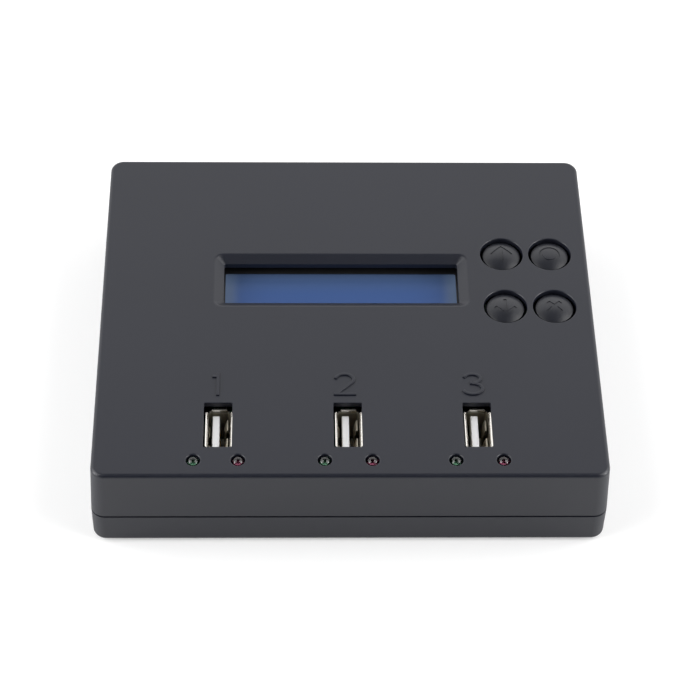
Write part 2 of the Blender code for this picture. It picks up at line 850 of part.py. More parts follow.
# Push buttons, built round their slide axis with z = 0 at the case's top face
def cap_mesh():
    """A domed cap with two retaining ears and a stem down to its switch."""
    skirt_z = -cap_rim_depth - cap_skirt_height
    stem_z = on_board_z + switch_height + clearance - top_z
    rise = cap_rim_depth + cap_apex_rise
    dome_sphere = (cap_radius ** 2 + rise ** 2) / (2 * rise)
    dome_angle = math.asin(cap_radius / dome_sphere)
    profile = [
        (0, stem_z), (cap_stem_radius, stem_z), (cap_stem_radius, skirt_z), (cap_radius, skirt_z),
    ]
    for step in range(dome_steps + 1):
        angle = dome_angle * (1 - step / dome_steps)
        drop = dome_sphere * (1 - math.cos(angle))
        profile.append((dome_sphere * math.sin(angle), cap_apex_rise - drop))
    body = turned("button_cap", profile, round_steps)
    ear_z = ceiling_z - clearance - top_z
    ear_span = 2 * (cap_radius + cap_ear_reach)
    ears = block("ears", cap_ear_width, ear_span, ear_z - cap_ear_thickness, ear_z)
    return combined(body, "UNION", [ears])


def make_buttons():
    """Four caps, each on the plunger of its own switch. Cap and plunger slide down together."""
    cap_finish = finish("cap_plastic", (0.060, 0.062, 0.068), 0.4)
    plunger_finish = finish("plunger_plastic", (0.02, 0.02, 0.02), 0.5)
    housing_finish = finish("housing_plastic", (0.02, 0.02, 0.02), 0.5)
    housing_top_z = on_board_z + switch_housing_height
    bore_low_z = on_board_z + switch_floor
    dome_low_z = on_board_z + switch_floor + clearance
    dome_high_z = dome_low_z + dome_rise + dome_thickness
    dome_finish = finish("dome_steel", (0.6, 0.6, 0.6), 0.3, 1.0)
    plunger_low_z = dome_high_z + clearance + button_travel - top_z
    plunger_high_z = on_board_z + switch_height - top_z
    for name, (x, y) in button_places.items():
        axis = bpy.data.objects.new(f"button_{name}_axis", None)
        bpy.context.scene.collection.objects.link(axis)
        axis.location = (x, y, top_z)
        add_piece(f"button_cap_{name}", cap_mesh(), cap_finish, parent=axis)
        plunger = rod(f"switch_plunger_{name}", plunger_radius, plunger_low_z, plunger_high_z)
        add_piece(f"switch_plunger_{name}", plunger, plunger_finish, parent=axis)
        body = block(
            "housing", switch_width, switch_width, on_board_z, housing_top_z, (x, y), chip_edge
        )
        bore_high_z = housing_top_z + cut_overrun
        bore = rod("bore", plunger_radius + clearance, bore_low_z, bore_high_z, (x, y))
        add_piece(f"switch_housing_{name}", combined(body, "DIFFERENCE", [bore]), housing_finish)
        profile = []
        for step in range(fillet_steps + 1):
            share = step / fillet_steps
            profile.append((dome_radius * share, dome_low_z + dome_rise * (1 - share ** 2)))
        profile += [(radius, z + dome_thickness) for radius, z in reversed(profile)]
        dome = turned(f"switch_dome_{name}", profile, tiny_round_steps, (x, y))
        add_piece(f"switch_dome_{name}", dome, dome_finish)


# Power inlet
def make_inlet():
    """The inlet's body behind the rear wall, and the centre pin in its bore."""
    inlet_high_z = on_board_z + inlet_height
    rear_y = case_depth / 2 - side_wall - cover_inset(inlet_high_z) - clearance
    bore_low_y = rear_y - inlet_bore_depth
    body = block(
        "inlet_body", inlet_width, inlet_length, on_board_z, inlet_high_z,
        (inlet_x, rear_y - inlet_length / 2), inlet_edge,
    )
    bore = level_rod(
        "bore", inlet_bore_radius, bore_low_y, rear_y + cut_overrun, inlet_x, inlet_axis_z,
        round_steps,
    )
    mesh = combined(body, "DIFFERENCE", [bore])
    add_piece("inlet_body", mesh, finish("inlet_plastic", (0.01, 0.01, 0.01), 0.4))
    pin = level_rod(
        "inlet_pin", inlet_pin_radius, bore_low_y + clearance, rear_y - inlet_pin_inset,
        inlet_x, inlet_axis_z, tiny_round_steps,
    )
    add_piece("inlet_pin", pin, finish("inlet_nickel", (0.7, 0.68, 0.65), 0.25, 1.0))


# Electronics
def make_electronics():
    """The larger parts on the main board, in one row between the sockets and the display."""
    epoxy = finish("chip_epoxy", (0.012, 0.012, 0.013), 0.5)
    row = [
        ((number - (chip_row_count - 1) / 2) * chip_row_pitch, chip_row_y)
        for number in range(chip_row_count)
    ]
    low_z = on_board_z

    high_z = low_z + memory_height
    mesh = block("memory_chip", memory_width, memory_length, low_z, high_z, row[2], chip_edge)
    add_piece("memory_chip", mesh, epoxy)
    high_z = low_z + controller_height
    mesh = block(
        "controller_chip", controller_width, controller_width, low_z, high_z, row[3], chip_edge
    )
    add_piece("controller_chip", mesh, epoxy)

    mesh = stacked("crystal", [
        rounded_ring(crystal_width, crystal_length, crystal_length / 2 - chip_edge, z, row[4])
        for z in (low_z, low_z + crystal_height)
    ])
    add_piece("crystal", mesh, finish("crystal_can", (0.7, 0.7, 0.7), 0.25, 1.0))

    high_z = low_z + regulator_height
    body = block("regulator", regulator_width, regulator_length, low_z, high_z, row[1], chip_edge)
    tab_length = regulator_length / 2 + regulator_tab_length
    tab_high_z = low_z + regulator_height * regulator_tab_height_share
    tab = block(
        "tab", regulator_width * regulator_tab_width_share, tab_length, low_z, tab_high_z,
        (row[1][0], row[1][1] + tab_length / 2),
    )
    add_piece("regulator", combined(body, "UNION", [tab]), epoxy)

    winding_radius = inductor_radius - inductor_winding_inset
    high_z = low_z + inductor_height
    mesh = turned("inductor", [
        (0, low_z), (inductor_radius, low_z), (inductor_radius, low_z + inductor_flange),
        (winding_radius, low_z + inductor_flange), (winding_radius, high_z - inductor_flange),
        (inductor_radius, high_z - inductor_flange), (inductor_radius, high_z), (0, high_z),
    ], small_round_steps, row[5])
    add_piece("inductor", mesh, finish("inductor_ferrite", (0.03, 0.03, 0.035), 0.6))

    can = finish("capacitor_can", (0.6, 0.6, 0.62), 0.3, 1.0)
    high_z = low_z + capacitor_base_height
    body = block(
        "capacitor", capacitor_base_width, capacitor_base_width, low_z, high_z, row[0], chip_edge
    )
    drum_low_z = low_z + capacitor_base_height / 2
    drum = rod("drum", capacitor_radius, drum_low_z, low_z + capacitor_height, row[0])
    add_piece("capacitor", combined(body, "UNION", [drum]), can)


for leftover in list(bpy.data.objects):
    bpy.data.objects.remove(leftover)
make_base_cover()
make_top_cover()
make_feet()
make_screws()
make_main_board()
make_display()
make_sockets()
make_lights()
make_buttons()
make_inlet()
make_electronics()
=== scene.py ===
"""The finish of a desktop USB flash drive duplicator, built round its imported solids.

Metres, +Z up, front towards -Y. The pieces come in the order in which the object is put together:
base, board, sockets, lights, display, switches, inlet, cover, buttons, screws and feet.
"""
import math

import bmesh
import bpy
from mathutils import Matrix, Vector


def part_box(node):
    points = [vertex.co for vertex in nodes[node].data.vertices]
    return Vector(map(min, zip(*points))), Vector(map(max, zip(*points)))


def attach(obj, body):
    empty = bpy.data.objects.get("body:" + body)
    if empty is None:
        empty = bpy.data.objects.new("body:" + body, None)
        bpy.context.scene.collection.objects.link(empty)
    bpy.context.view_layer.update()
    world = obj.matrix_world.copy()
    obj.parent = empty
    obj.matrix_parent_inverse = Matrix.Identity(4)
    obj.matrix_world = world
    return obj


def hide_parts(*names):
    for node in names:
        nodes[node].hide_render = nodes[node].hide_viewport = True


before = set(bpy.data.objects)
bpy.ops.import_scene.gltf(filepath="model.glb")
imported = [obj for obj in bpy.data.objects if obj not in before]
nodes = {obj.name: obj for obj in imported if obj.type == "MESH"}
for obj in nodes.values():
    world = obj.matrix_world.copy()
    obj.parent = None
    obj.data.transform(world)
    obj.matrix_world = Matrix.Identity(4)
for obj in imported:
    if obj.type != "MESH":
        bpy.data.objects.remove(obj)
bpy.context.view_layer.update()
bpy.ops.object.select_all(action="DESELECT")


# Base cover. The lower half of the case, an injection moulded shell in dark grey plastic whose
# mould was spark eroded to a fine matt grain. A thin lip inside its rim locates the cover, four
# corner bosses take the case screws, and low posts stop the board from flexing.
case_colour = (0.0088, 0.0102, 0.0172)
case_roughness = 0.38
grain_size = 0.00035
grain_depth = 0.0000035
cloud_size = 0.03
cloud_drift = 0.03
gloss_drift = 0.04
noise_middle = (0.3, 0.7)
parting_gap = 0.0005
side_wall = 0.0020
floor_wall = 0.0020
lip_thickness = 0.0007
corner_radius = 0.0035
underside_fillet = 0.0013
edge_break = 0.00012
base_draft = math.radians(0.3)
case_boss_radius = 0.0038
support_radius = 0.0030
clearance = 0.0003
foot_recess_depth = 0.0009
counterbore_depth = 0.0050
counterbore_radius = 0.0029
screw_hole_radius = 0.0016
overrun = 0.0010
hair = 0.00001
steep = 0.9
port_numbers = (1, 2, 3)


def new_finish(name, roughness, metallic=0.0):
    """A material, with its tree and its shader, to which a pattern can be added."""
    material = bpy.data.materials.new(name)
    material.use_nodes = True
    shader = material.node_tree.nodes["Principled BSDF"]
    shader.inputs["Roughness"].default_value = roughness
    shader.inputs["Metallic"].default_value = metallic
    return material, material.node_tree, shader


def noise(tree, lump, detail=2.0):
    """Noise with lumps of about one size, fixed to the piece."""
    place = tree.nodes.new("ShaderNodeTexCoord")
    texture = tree.nodes.new("ShaderNodeTexNoise")
    texture.inputs["Scale"].default_value = 1 / lump
    texture.inputs["Detail"].default_value = detail
    tree.links.new(place.outputs["Object"], texture.inputs["Vector"])
    return texture.outputs["Fac"]


def ramp(tree, value, first, last, low=0.0, high=1.0, kind="LINEAR"):
    """Maps one range of a value onto another."""
    remap = tree.nodes.new("ShaderNodeMapRange")
    remap.interpolation_type = kind
    ends = {"From Min": first, "From Max": last, "To Min": low, "To Max": high}
    for end, number in ends.items():
        remap.inputs[end].default_value = number
    tree.links.new(value, remap.inputs["Value"])
    return remap.outputs["Result"]


def spread(tree, value, low, high):
    """Maps a noise's middle range onto two values."""
    return ramp(tree, value, *noise_middle, low, high)


def blend_colours(tree, value, first, second):
    """A colour or blend where a pattern is 0, and a second one where it is 1."""
    mix = tree.nodes.new("ShaderNodeMix")
    mix.data_type = "RGBA"
    for end, colour in (("A", first), ("B", second)):
        if isinstance(colour, tuple):
            mix.inputs[end].default_value = (*colour, 1)
        else:
            tree.links.new(colour, mix.inputs[end])
    tree.links.new(value, mix.inputs["Factor"])
    return mix.outputs["Result"]


def tinted(colour, share):
    """A colour made lighter or darker by a share of itself."""
    return tuple(channel * (1 + share) for channel in colour)


def bump(tree, shader, height, depth):
    """Raises the surface where a pattern is high, by up to a depth."""
    node = tree.nodes.new("ShaderNodeBump")
    node.inputs["Distance"].default_value = depth
    tree.links.new(height, node.inputs["Height"])
    tree.links.new(node.outputs["Normal"], shader.inputs["Normal"])


def moulded_plastic(name, colour, roughness, lump=grain_size, depth=grain_depth):
    """Moulded plastic: faintly clouded colour, and the grain that its mould left."""
    material, tree, shader = new_finish(name, roughness)
    clouds = spread(tree, noise(tree, cloud_size), 0, 1)
    pale, deep = tinted(colour, cloud_drift), tinted(colour, -cloud_drift)
    tree.links.new(blend_colours(tree, clouds, deep, pale), shader.inputs["Base Color"])
    grain = noise(tree, lump, 3.0)
    gloss = spread(tree, grain, roughness - gloss_drift, roughness + gloss_drift)
    tree.links.new(gloss, shader.inputs["Roughness"])
    bump(tree, shader, grain, depth)
    return material


def start_block(name, low, high):
    """A block between two corners, open in edit mode with nothing selected."""
    bpy.ops.object.select_all(action="DESELECT")
    bpy.ops.mesh.primitive_cube_add(size=1, location=(low + high) / 2, scale=high - low)
    bpy.ops.object.transform_apply()
    piece = bpy.context.object
    piece.name = name
    piece.data.name = name
    bpy.ops.object.mode_set(mode="EDIT")
    bpy.ops.mesh.select_all(action="DESELECT")
    return piece


def stop_editing():
    """Goes back to object mode."""
    bpy.ops.object.mode_set(mode="OBJECT")


def pick(kind, test):
    """In edit mode, selects just the faces or edges that pass a test."""
    bpy.ops.mesh.select_mode(type=kind)
    bpy.ops.mesh.select_all(action="DESELECT")
    mesh = bmesh.from_edit_mesh(bpy.context.object.data)
    for item in mesh.faces if kind == "FACE" else mesh.edges:
        if test(item):
            item.select_set(True)
    mesh.select_flush_mode()
    bmesh.update_edit_mesh(bpy.context.object.data)


def level_at(z):
    """A test for faces and edges that lie at one height."""
    return lambda item: all(abs(vert.co.z - z) < hair for vert in item.verts)


def upright(edge):
    """A test for edges that run up a drafted wall."""
    start, end = (vert.co for vert in edge.verts)
    return abs(start.z - end.z) > steep * (start - end).length


def round_hole(places, radius, z):
    """A test for edges that run round any of several upright holes at one height."""
    def test(edge):
        return level_at(z)(edge) and any(
            all(abs((vert.co.xy - place).length - radius) < hair for vert in edge.verts)
            for place in places
        )
    return test


def draw_in(low, high, draft, rise):
    """Shrinks the selection on each side, as a mould's draft does over a rise."""
    size, run = high - low, math.tan(draft) * rise
    bpy.ops.transform.resize(value=(1 - 2 * run / size.x, 1 - 2 * run / size.y, 1))


def push(height, x=0, y=0):
    """Extrudes the selection up or down, or by a step."""
    bpy.ops.mesh.extrude_region_move(TRANSFORM_OT_translate={"value": (x, y, height)})


def inset(width):
    """Insets the selected face."""
    bpy.ops.mesh.inset(thickness=width)


def cylinder(name, radius, length, centre, sides, turn=0):
    """A round bar, upright unless turned about the X axis."""
    bpy.ops.object.select_all(action="DESELECT")
    bpy.ops.mesh.primitive_cylinder_add(
        vertices=sides, radius=radius, depth=length, location=centre, rotation=(turn, 0, 0)
    )
    bpy.ops.object.transform_apply()
    bpy.context.object.name = name
    return bpy.context.object


def round_bar(name, radius, low_z, high_z, place, sides=48):
    """An upright round bar, used as a boss, a post or a cutter."""
    centre = (place[0], place[1], (low_z + high_z) / 2)
    return cylinder(name, radius, high_z - low_z, centre, sides)


def bars(name, radius, low_z, high_z, places, sides=48):
    """The same upright round bar at several places."""
    return [round_bar(name, radius, low_z, high_z, place, sides) for place in places]


def select(*pieces):
    """Selects just these pieces, the first of them active."""
    bpy.ops.object.select_all(action="DESELECT")
    for piece in pieces:
        piece.select_set(True)
    bpy.context.view_layer.objects.active = pieces[0]


def apply_modifier(piece, kind, **settings):
    """Gives a piece a modifier and applies it."""
    modifier = piece.modifiers.new(kind, kind)
    for setting, value in settings.items():
        setattr(modifier, setting, value)
    bpy.context.view_layer.objects.active = piece
    bpy.ops.object.modifier_apply(modifier=modifier.name)


def combine(piece, operation, tools):
    """Joins tools to a piece, or cuts them out of it, and removes them."""
    group = bpy.data.collections.new("tools")
    bpy.context.scene.collection.children.link(group)
    for tool in tools:
        group.objects.link(tool)
    apply_modifier(piece, "BOOLEAN", operation=operation, solver="EXACT",
                   operand_type="COLLECTION", collection=group)
    for tool in tools:
        bpy.data.objects.remove(tool)
    bpy.data.collections.remove(group)


def edit(piece):
    """Opens a piece in edit mode with nothing selected."""
    select(piece)
    bpy.ops.object.mode_set(mode="EDIT")
    bpy.ops.mesh.select_all(action="DESELECT")


def soften(width, segments=2):
    """Rounds over the selected edges."""
    bpy.ops.mesh.bevel(offset=width, segments=segments, affect="EDGES")


def round_edges(test, width, segments=2):
    """Rounds over the edges that pass a test."""
    pick("EDGE", test)
    soften(width, segments)


def shade(piece, material, angle=35):
    """Closes a piece: shading that keeps flats flat and rounds round, and its material."""
    if bpy.context.object and bpy.context.object.mode == "EDIT":
        stop_editing()
    select(piece)
    bpy.ops.object.shade_smooth_by_angle(angle=math.radians(angle))
    apply_modifier(piece, "WEIGHTED_NORMAL", keep_sharp=True)
    piece.data.materials.clear()
    piece.data.materials.append(material)


def middle(node):
    """The centre of a node's box."""
    low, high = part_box(node)
    return (low + high) / 2


corner_names = ("front_left", "front_right", "rear_left", "rear_right")
screw_places = [middle(f"case_screw_{corner}").xy for corner in corner_names]
foot_places = [middle(f"foot_{corner}").xy for corner in corner_names]
case_plastic = moulded_plastic("case_plastic", case_colour, case_roughness)
base_low, base_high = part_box("base_cover")
cover_low, cover_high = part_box("top_cover")
board_low, board_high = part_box("main_board")
base_top_z = cover_low.z - parting_gap
lip_height = base_high.z - base_top_z
floor_z = base_low.z + floor_wall

base = start_block("base_shell", base_low, Vector((base_high.x, base_high.y, base_top_z)))
pick("FACE", level_at(base_low.z))
draw_in(base_low, base_high, base_draft, base_top_z - base_low.z)
round_edges(upright, corner_radius, 12)
round_edges(level_at(base_low.z), underside_fillet, 8)
round_edges(level_at(base_top_z), edge_break)
pick("FACE", level_at(base_top_z))
inset(side_wall - lip_thickness - edge_break)
push(lip_height)
inset(lip_thickness)
push(floor_z - base_high.z)
draw_in(base_low, base_high, base_draft, base_top_z - floor_z)
stop_editing()

root_z = base_low.z + floor_wall / 2
post_top_z = board_low.z - clearance
socket_places = [middle(f"usb_shell_{number}").xy for number in port_numbers]
button_centre = (middle("button_cap_up").xy + middle("button_cap_cancel").xy) / 2
post_places = [*socket_places, middle("display_frame").xy, button_centre]
posts = bars("boss", case_boss_radius, root_z, base_top_z, screw_places)
posts += bars("post", support_radius, root_z, post_top_z, post_places)
combine(base, "UNION", posts)

foot_low, foot_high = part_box("foot_front_left")
foot_recess_radius = (foot_high.x - foot_low.x) / 2 + clearance
below_z = base_low.z - overrun
recess_z = base_low.z + foot_recess_depth
seat_z = base_low.z + counterbore_depth
cuts = bars("recess", foot_recess_radius, below_z, recess_z, foot_places)
cuts += bars("seat", counterbore_radius, below_z, seat_z, screw_places)
cuts += bars("hole", screw_hole_radius, below_z, base_top_z + overrun, screw_places)
combine(base, "DIFFERENCE", cuts)
edit(base)
round_edges(round_hole(screw_places, counterbore_radius, base_low.z), edge_break)
round_edges(round_hole(foot_places, foot_recess_radius, base_low.z), edge_break)
shade(base, case_plastic)
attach(base, "case")
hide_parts("base_cover")


# Main board. Fibreglass laminate under a green solder mask, with the copper's faint relief, and
# the larger parts soldered to it. It hangs from four bosses under the cover, held by pan head
# screws, and carries the sockets, lights, switches and inlet.
track_density = 160
track_gap = 0.09
track_relief = 0.00002
mask_roughness = 0.32
track_tint, gap_tint = -0.1, 0.9
metal_wear = (-0.05, 0.08)
metal_tint = -0.08


def solder_mask(name, colour):
    """A glossy mask over copper, a little lighter where tracks lie under it."""
    material, tree, shader = new_finish(name, mask_roughness)
    place = tree.nodes.new("ShaderNodeTexCoord")
    tracks = tree.nodes.new("ShaderNodeTexBrick")
    tracks.inputs["Scale"].default_value = track_density
    tracks.inputs["Mortar Size"].default_value = track_gap
    tracks.inputs["Color1"].default_value = (*tinted(colour, track_tint), 1)
    tracks.inputs["Color2"].default_value = (*colour, 1)
    tracks.inputs["Mortar"].default_value = (*tinted(colour, gap_tint), 1)
    tree.links.new(place.outputs["Object"], tracks.inputs["Vector"])
    tree.links.new(tracks.outputs["Color"], shader.inputs["Base Color"])
    bump(tree, shader, tracks.outputs["Fac"], track_relief)
    return material


def plated_metal(name, colour, roughness, streak=0.0004, depth=0.000001):
    """Plated or drawn metal, with the slight unevenness of a rolled sheet."""
    material, tree, shader = new_finish(name, roughness, 1.0)
    wear = noise(tree, streak, 4.0)
    worn = blend_colours(tree, spread(tree, wear, 0, 1), tinted(colour, metal_tint), colour)
    tree.links.new(worn, shader.inputs["Base Color"])
    gloss = spread(tree, wear, roughness + metal_wear[0], roughness + metal_wear[1])
    tree.links.new(gloss, shader.inputs["Roughness"])
    bump(tree, shader, wear, depth)
    return material


def dress(names, material):
    """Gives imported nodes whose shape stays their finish."""
    for name in names:
        nodes[name].data.materials.clear()
        nodes[name].data.materials.append(material)


epoxy = moulded_plastic("chip_epoxy", (0.012, 0.012, 0.013), roughness=0.45,
                        lump=0.0002, depth=0.000004)
can_metal = plated_metal("can_metal", (0.62, 0.62, 0.63), roughness=0.28)
screw_steel = plated_metal("screw_steel", (0.50, 0.50, 0.51), roughness=0.30)
ferrite = moulded_plastic("ferrite", (0.028, 0.028, 0.032), roughness=0.6,
                          lump=0.0001, depth=0.000006)
dress(["main_board", "display_board"], solder_mask("board_laminate", (0.012, 0.085, 0.035)))
dress(["controller_chip", "memory_chip", "regulator"], epoxy)
dress(["crystal", "capacitor"], can_metal)
dress(["inductor"], ferrite)
dress([f"board_screw_{corner}" for corner in corner_names], screw_steel)


# USB sockets. Each is a tube drawn from nickel plated sheet steel, whose four mouth lips flare
# outwards, with two leaf springs pressed in from each long wall. A white moulded insulator fills
# its foot and stands up as the tongue, with four gold plated contacts in its grooves.
sheet = 0.0003
socket_corner_radius = 0.0008
flare_height = 0.0009
side_flare = 0.00063
end_flare = 0.00030
end_lip_drop = 0.00025
lip_end_taper = 0.00025
spring_width = 0.0034
spring_reach = 0.0030
spring_root_depth = 0.0098
spring_shapes = {-1: (0.00030, 0.0050), 1: (0.00120, 0.0022)}
spring_lean = 0.8
spring_turn = 0.86
tongue_thickness = 0.00184
tongue_length = 0.0111
tongue_drop = 0.0002
tongue_shift = 0.00078
insulator_foot = 0.0030
groove_width = 0.0016
groove_depth = 0.0004
groove_end_inset = 0.0006
groove_reaches = (-0.0035, -0.0010, 0.0010, 0.0035)
contact_width = 0.0011
contact_thickness = 0.00022
# Painted shade: the nickel's colour darkens from the lips down to this depth inside the socket, and
# the deep colour below it stands in for the shade there.
mouth_shade_depth = 0.0012
mouth_nickel = (0.93, 0.90, 0.84)
painted_shade_nickel = (0.50, 0.47, 0.39)
nickel_roughness = 0.24
nickel_gloss = (0.50, 0.25)
nickel_streak = 0.0005
nickel_relief = 0.0000003


def axes_of(tree):
    """The X, Y and Z of each point, fixed to the piece."""
    place = tree.nodes.new("ShaderNodeTexCoord")
    axes = tree.nodes.new("ShaderNodeSeparateXYZ")
    tree.links.new(place.outputs["Object"], axes.inputs["Vector"])
    return axes.outputs


def socket_nickel():
    """Bright nickel at the lips, painted darker and warmer down in the socket as painted shade, and
    rougher there.
    """
    material, tree, shader = new_finish("socket_nickel", nickel_roughness, 1.0)
    painted_shade_ramp = ramp(tree, axes_of(tree)["Z"], wall_top_z - mouth_shade_depth, wall_top_z)
    nickel = blend_colours(tree, painted_shade_ramp, painted_shade_nickel, mouth_nickel)
    tree.links.new(nickel, shader.inputs["Base Color"])
    tree.links.new(ramp(tree, painted_shade_ramp, 0, 1, *nickel_gloss), shader.inputs["Roughness"])
    bump(tree, shader, noise(tree, nickel_streak, 4.0), nickel_relief)
    return material


def flare_lip(test, outward, flare, rise):
    """Grows one lip from the straight part of a wall's top edge, curving outwards."""
    pick("EDGE", test)
    steps = 4
    for step in range(steps):
        start = math.pi / 2 * step / steps
        end = math.pi / 2 * (step + 1) / steps
        out = flare * (math.cos(start) - math.cos(end))
        up = rise * (math.sin(end) - math.sin(start))
        push(up, outward[0] * out, outward[1] * out)
    length = socket_length if outward[0] else socket_width
    share = 1 - 2 * lip_end_taper / (length - 2 * socket_corner_radius)
    bpy.ops.transform.resize(value=(1 if outward[0] else share, share if outward[0] else 1, 1))


def start_post(name, place, width, length, low_z, high_z):
    """A block that stands over a place on the plan, open in edit mode."""
    centre = Vector((place[0], place[1], 0))
    half = Vector((width / 2, length / 2, 0))
    low, high = Vector((0, 0, low_z)), Vector((0, 0, high_z))
    return start_block(name, centre - half + low, centre + half + high)


def pick_all():
    """In edit mode, selects everything."""
    bpy.ops.mesh.select_all(action="SELECT")


def join(pieces):
    """Makes several pieces one, the first of them."""
    select(*pieces)
    bpy.ops.object.join()
    return pieces[0]


def bowed_strip(name, place, thickness, width, low_z, high_z, cuts, sweep):
    """An upright strip, bent along X by a rule of the share of its height."""
    piece = start_post(name, place, thickness, width, low_z, high_z)
    pick("EDGE", upright)
    bpy.ops.mesh.subdivide(number_cuts=cuts)
    mesh = bmesh.from_edit_mesh(piece.data)
    for vert in mesh.verts:
        vert.co.x += sweep(max(0, (vert.co.z - low_z) / (high_z - low_z)))
    bmesh.update_edit_mesh(piece.data)
    stop_editing()
    return piece


def leaf_spring(side, offset):
    """A leaf spring: rooted deep in one long wall, bowed inwards, its tip short of the mouth."""
    bulge, tip_depth = spring_shapes[side]
    wall_x = socket_centre.x + side * (socket_width / 2 - sheet / 2)
    return bowed_strip(
        "spring", (wall_x, socket_centre.y + offset), sheet, spring_width,
        socket_top_z - spring_root_depth, socket_top_z - tip_depth, 10,
        lambda share: -side * bulge * math.sin(math.pi * share ** spring_lean * spring_turn)
    )


socket_low, socket_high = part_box("usb_shell_2")
insulator_low, insulator_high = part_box("usb_insulator_2")
socket_centre = (socket_low + socket_high) / 2
socket_top_z = socket_high.z
socket_width = socket_high.x - socket_low.x - 2 * side_flare
socket_length = socket_high.y - socket_low.y - 2 * side_flare
wall_top_z = socket_top_z - flare_height
shell = start_post("usb_shell", socket_centre, socket_width, socket_length,
                   socket_low.z, wall_top_z)
round_edges(upright, socket_corner_radius, 6)
pick("FACE", lambda face: abs(face.normal.z) > steep)
bpy.ops.mesh.delete(type="ONLY_FACE")


def straight_top(outward):
    """A test for the straight top edge of the wall that faces outward."""
    def test(edge):
        across = (edge.verts[0].co + edge.verts[1].co) / 2 - socket_centre
        reach = across.x * outward[0] + across.y * outward[1]
        wall = socket_width / 2 if outward[0] else socket_length / 2
        return level_at(wall_top_z)(edge) and abs(reach - wall) < hair
    return test


for outward in ((-1, 0), (1, 0)):
    flare_lip(straight_top(outward), outward, side_flare, flare_height)
for outward in ((0, -1), (0, 1)):
    flare_lip(straight_top(outward), outward, end_flare, flare_height - end_lip_drop)
pick_all()
bpy.ops.mesh.normals_make_consistent(inside=False)
stop_editing()
apply_modifier(shell, "SOLIDIFY", thickness=sheet, offset=-1, use_even_offset=True)
apply_modifier(shell, "BEVEL", width=sheet / 5, segments=2, limit_method="ANGLE",
               angle_limit=math.radians(50))
springs = [
    leaf_spring(side, offset) for side in (-1, 1) for offset in (-spring_reach, spring_reach)
]
join([shell, *springs])
shade(shell, socket_nickel())

foot_size = insulator_high - insulator_low
foot_top_z = insulator_low.z + insulator_foot
insulator = start_post("usb_insulator", socket_centre, foot_size.x, foot_size.y,
                       insulator_low.z, foot_top_z)
round_edges(upright, clearance, 3)
stop_editing()
tongue_centre = socket_centre - Vector((tongue_shift, 0, 0))
tongue_top_z = insulator_high.z - tongue_drop
tongue = start_post("tongue", tongue_centre, tongue_thickness, tongue_length,
                    insulator_low.z + insulator_foot / 2, tongue_top_z)
round_edges(level_at(tongue_top_z), tongue_thickness / 6, 3)
round_edges(upright, tongue_thickness / 12, 2)
stop_editing()
combine(insulator, "UNION", [tongue])
contact_face_x = tongue_centre.x + tongue_thickness / 2
groove_top_z = tongue_top_z - groove_end_inset
grooves = []
for reach in groove_reaches:
    place = (contact_face_x, socket_centre.y + reach)
    grooves.append(start_post("groove", place, 2 * groove_depth, groove_width, foot_top_z,
                              groove_top_z))
    stop_editing()
combine(insulator, "DIFFERENCE", grooves)
shade(insulator, moulded_plastic("insulator_white", (0.93, 0.93, 0.94), roughness=0.35,
                                 lump=0.0003, depth=0.000002))

contact_x = contact_face_x - groove_depth + contact_thickness / 2
contacts = join([
    bowed_strip("contact", (contact_x, socket_centre.y + reach), contact_thickness, contact_width,
                foot_top_z, groove_top_z, 8,
                lambda share: groove_depth * math.sin(math.pi * share) ** 2)
    for reach in groove_reaches
])
contacts.name = "usb_contacts"
shade(contacts, plated_metal("contact_gold", (0.85, 0.60, 0.25), roughness=0.25))


def copy_to(piece, name, step):
    """A copy of a finished piece with its own mesh, moved by a step."""
    twin = piece.copy()
    twin.data = piece.data.copy()
    twin.name = name
    twin.data.name = name
    bpy.context.scene.collection.objects.link(twin)
    edit(twin)
    pick_all()
    bpy.ops.transform.translate(value=step)
    stop_editing()
    return twin


for number in port_numbers:
    step = middle(f"usb_shell_{number}") - socket_centre
    socket = copy_to(shell, f"socket_shell_{number}", step)
    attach(socket, "case")
    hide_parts(f"usb_shell_{number}")
    core = copy_to(insulator, f"socket_tongue_{number}", step)
    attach(core, "case")
    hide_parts(f"usb_insulator_{number}")
    strips = copy_to(contacts, f"socket_contacts_{number}", step)
    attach(strips, "case")
for pattern in (shell, insulator, contacts):
    bpy.data.objects.remove(pattern)


# Status lights. A 3 mm lamp cast in tinted clear epoxy round two tinned steel leads, one of which
# ends in a small cup for the die. Each stands tall on its leads, its dome just through the cover.
lens_flange_height = 0.0010
lens_radius = 0.00158
lens_height = 0.0053
lens_sink = 0.00045
lens_flange_radius = 0.0019
lead_width = 0.0005
lead_reach = 0.00127
anvil_width = 0.0010
post_width = 0.0009
plate_depth = 0.0012
plate_shift = 0.0004
anvil_top = 0.0018
post_top = 0.0017
cup_radius = 0.00030
light_tints = {"green": (0.07, 0.16, 0.10), "red": (0.18, 0.05, 0.085)}
resin_roughness = 0.06
resin_swirl = 0.0012
resin_drift = 0.12
resin_clarity = 0.98
resin_index = 1.53


def tinted_epoxy(name, colour):
    """Clear casting resin with a dye in it, clear enough to see the leads through."""
    material, tree, shader = new_finish(name, resin_roughness)
    swirl = spread(tree, noise(tree, resin_swirl), 0, 1)
    pale, deep = tinted(colour, resin_drift), tinted(colour, -resin_drift)
    tree.links.new(blend_colours(tree, swirl, deep, pale), shader.inputs["Base Color"])
    shader.inputs["Transmission Weight"].default_value = resin_clarity
    shader.inputs["IOR"].default_value = resin_index
    return material


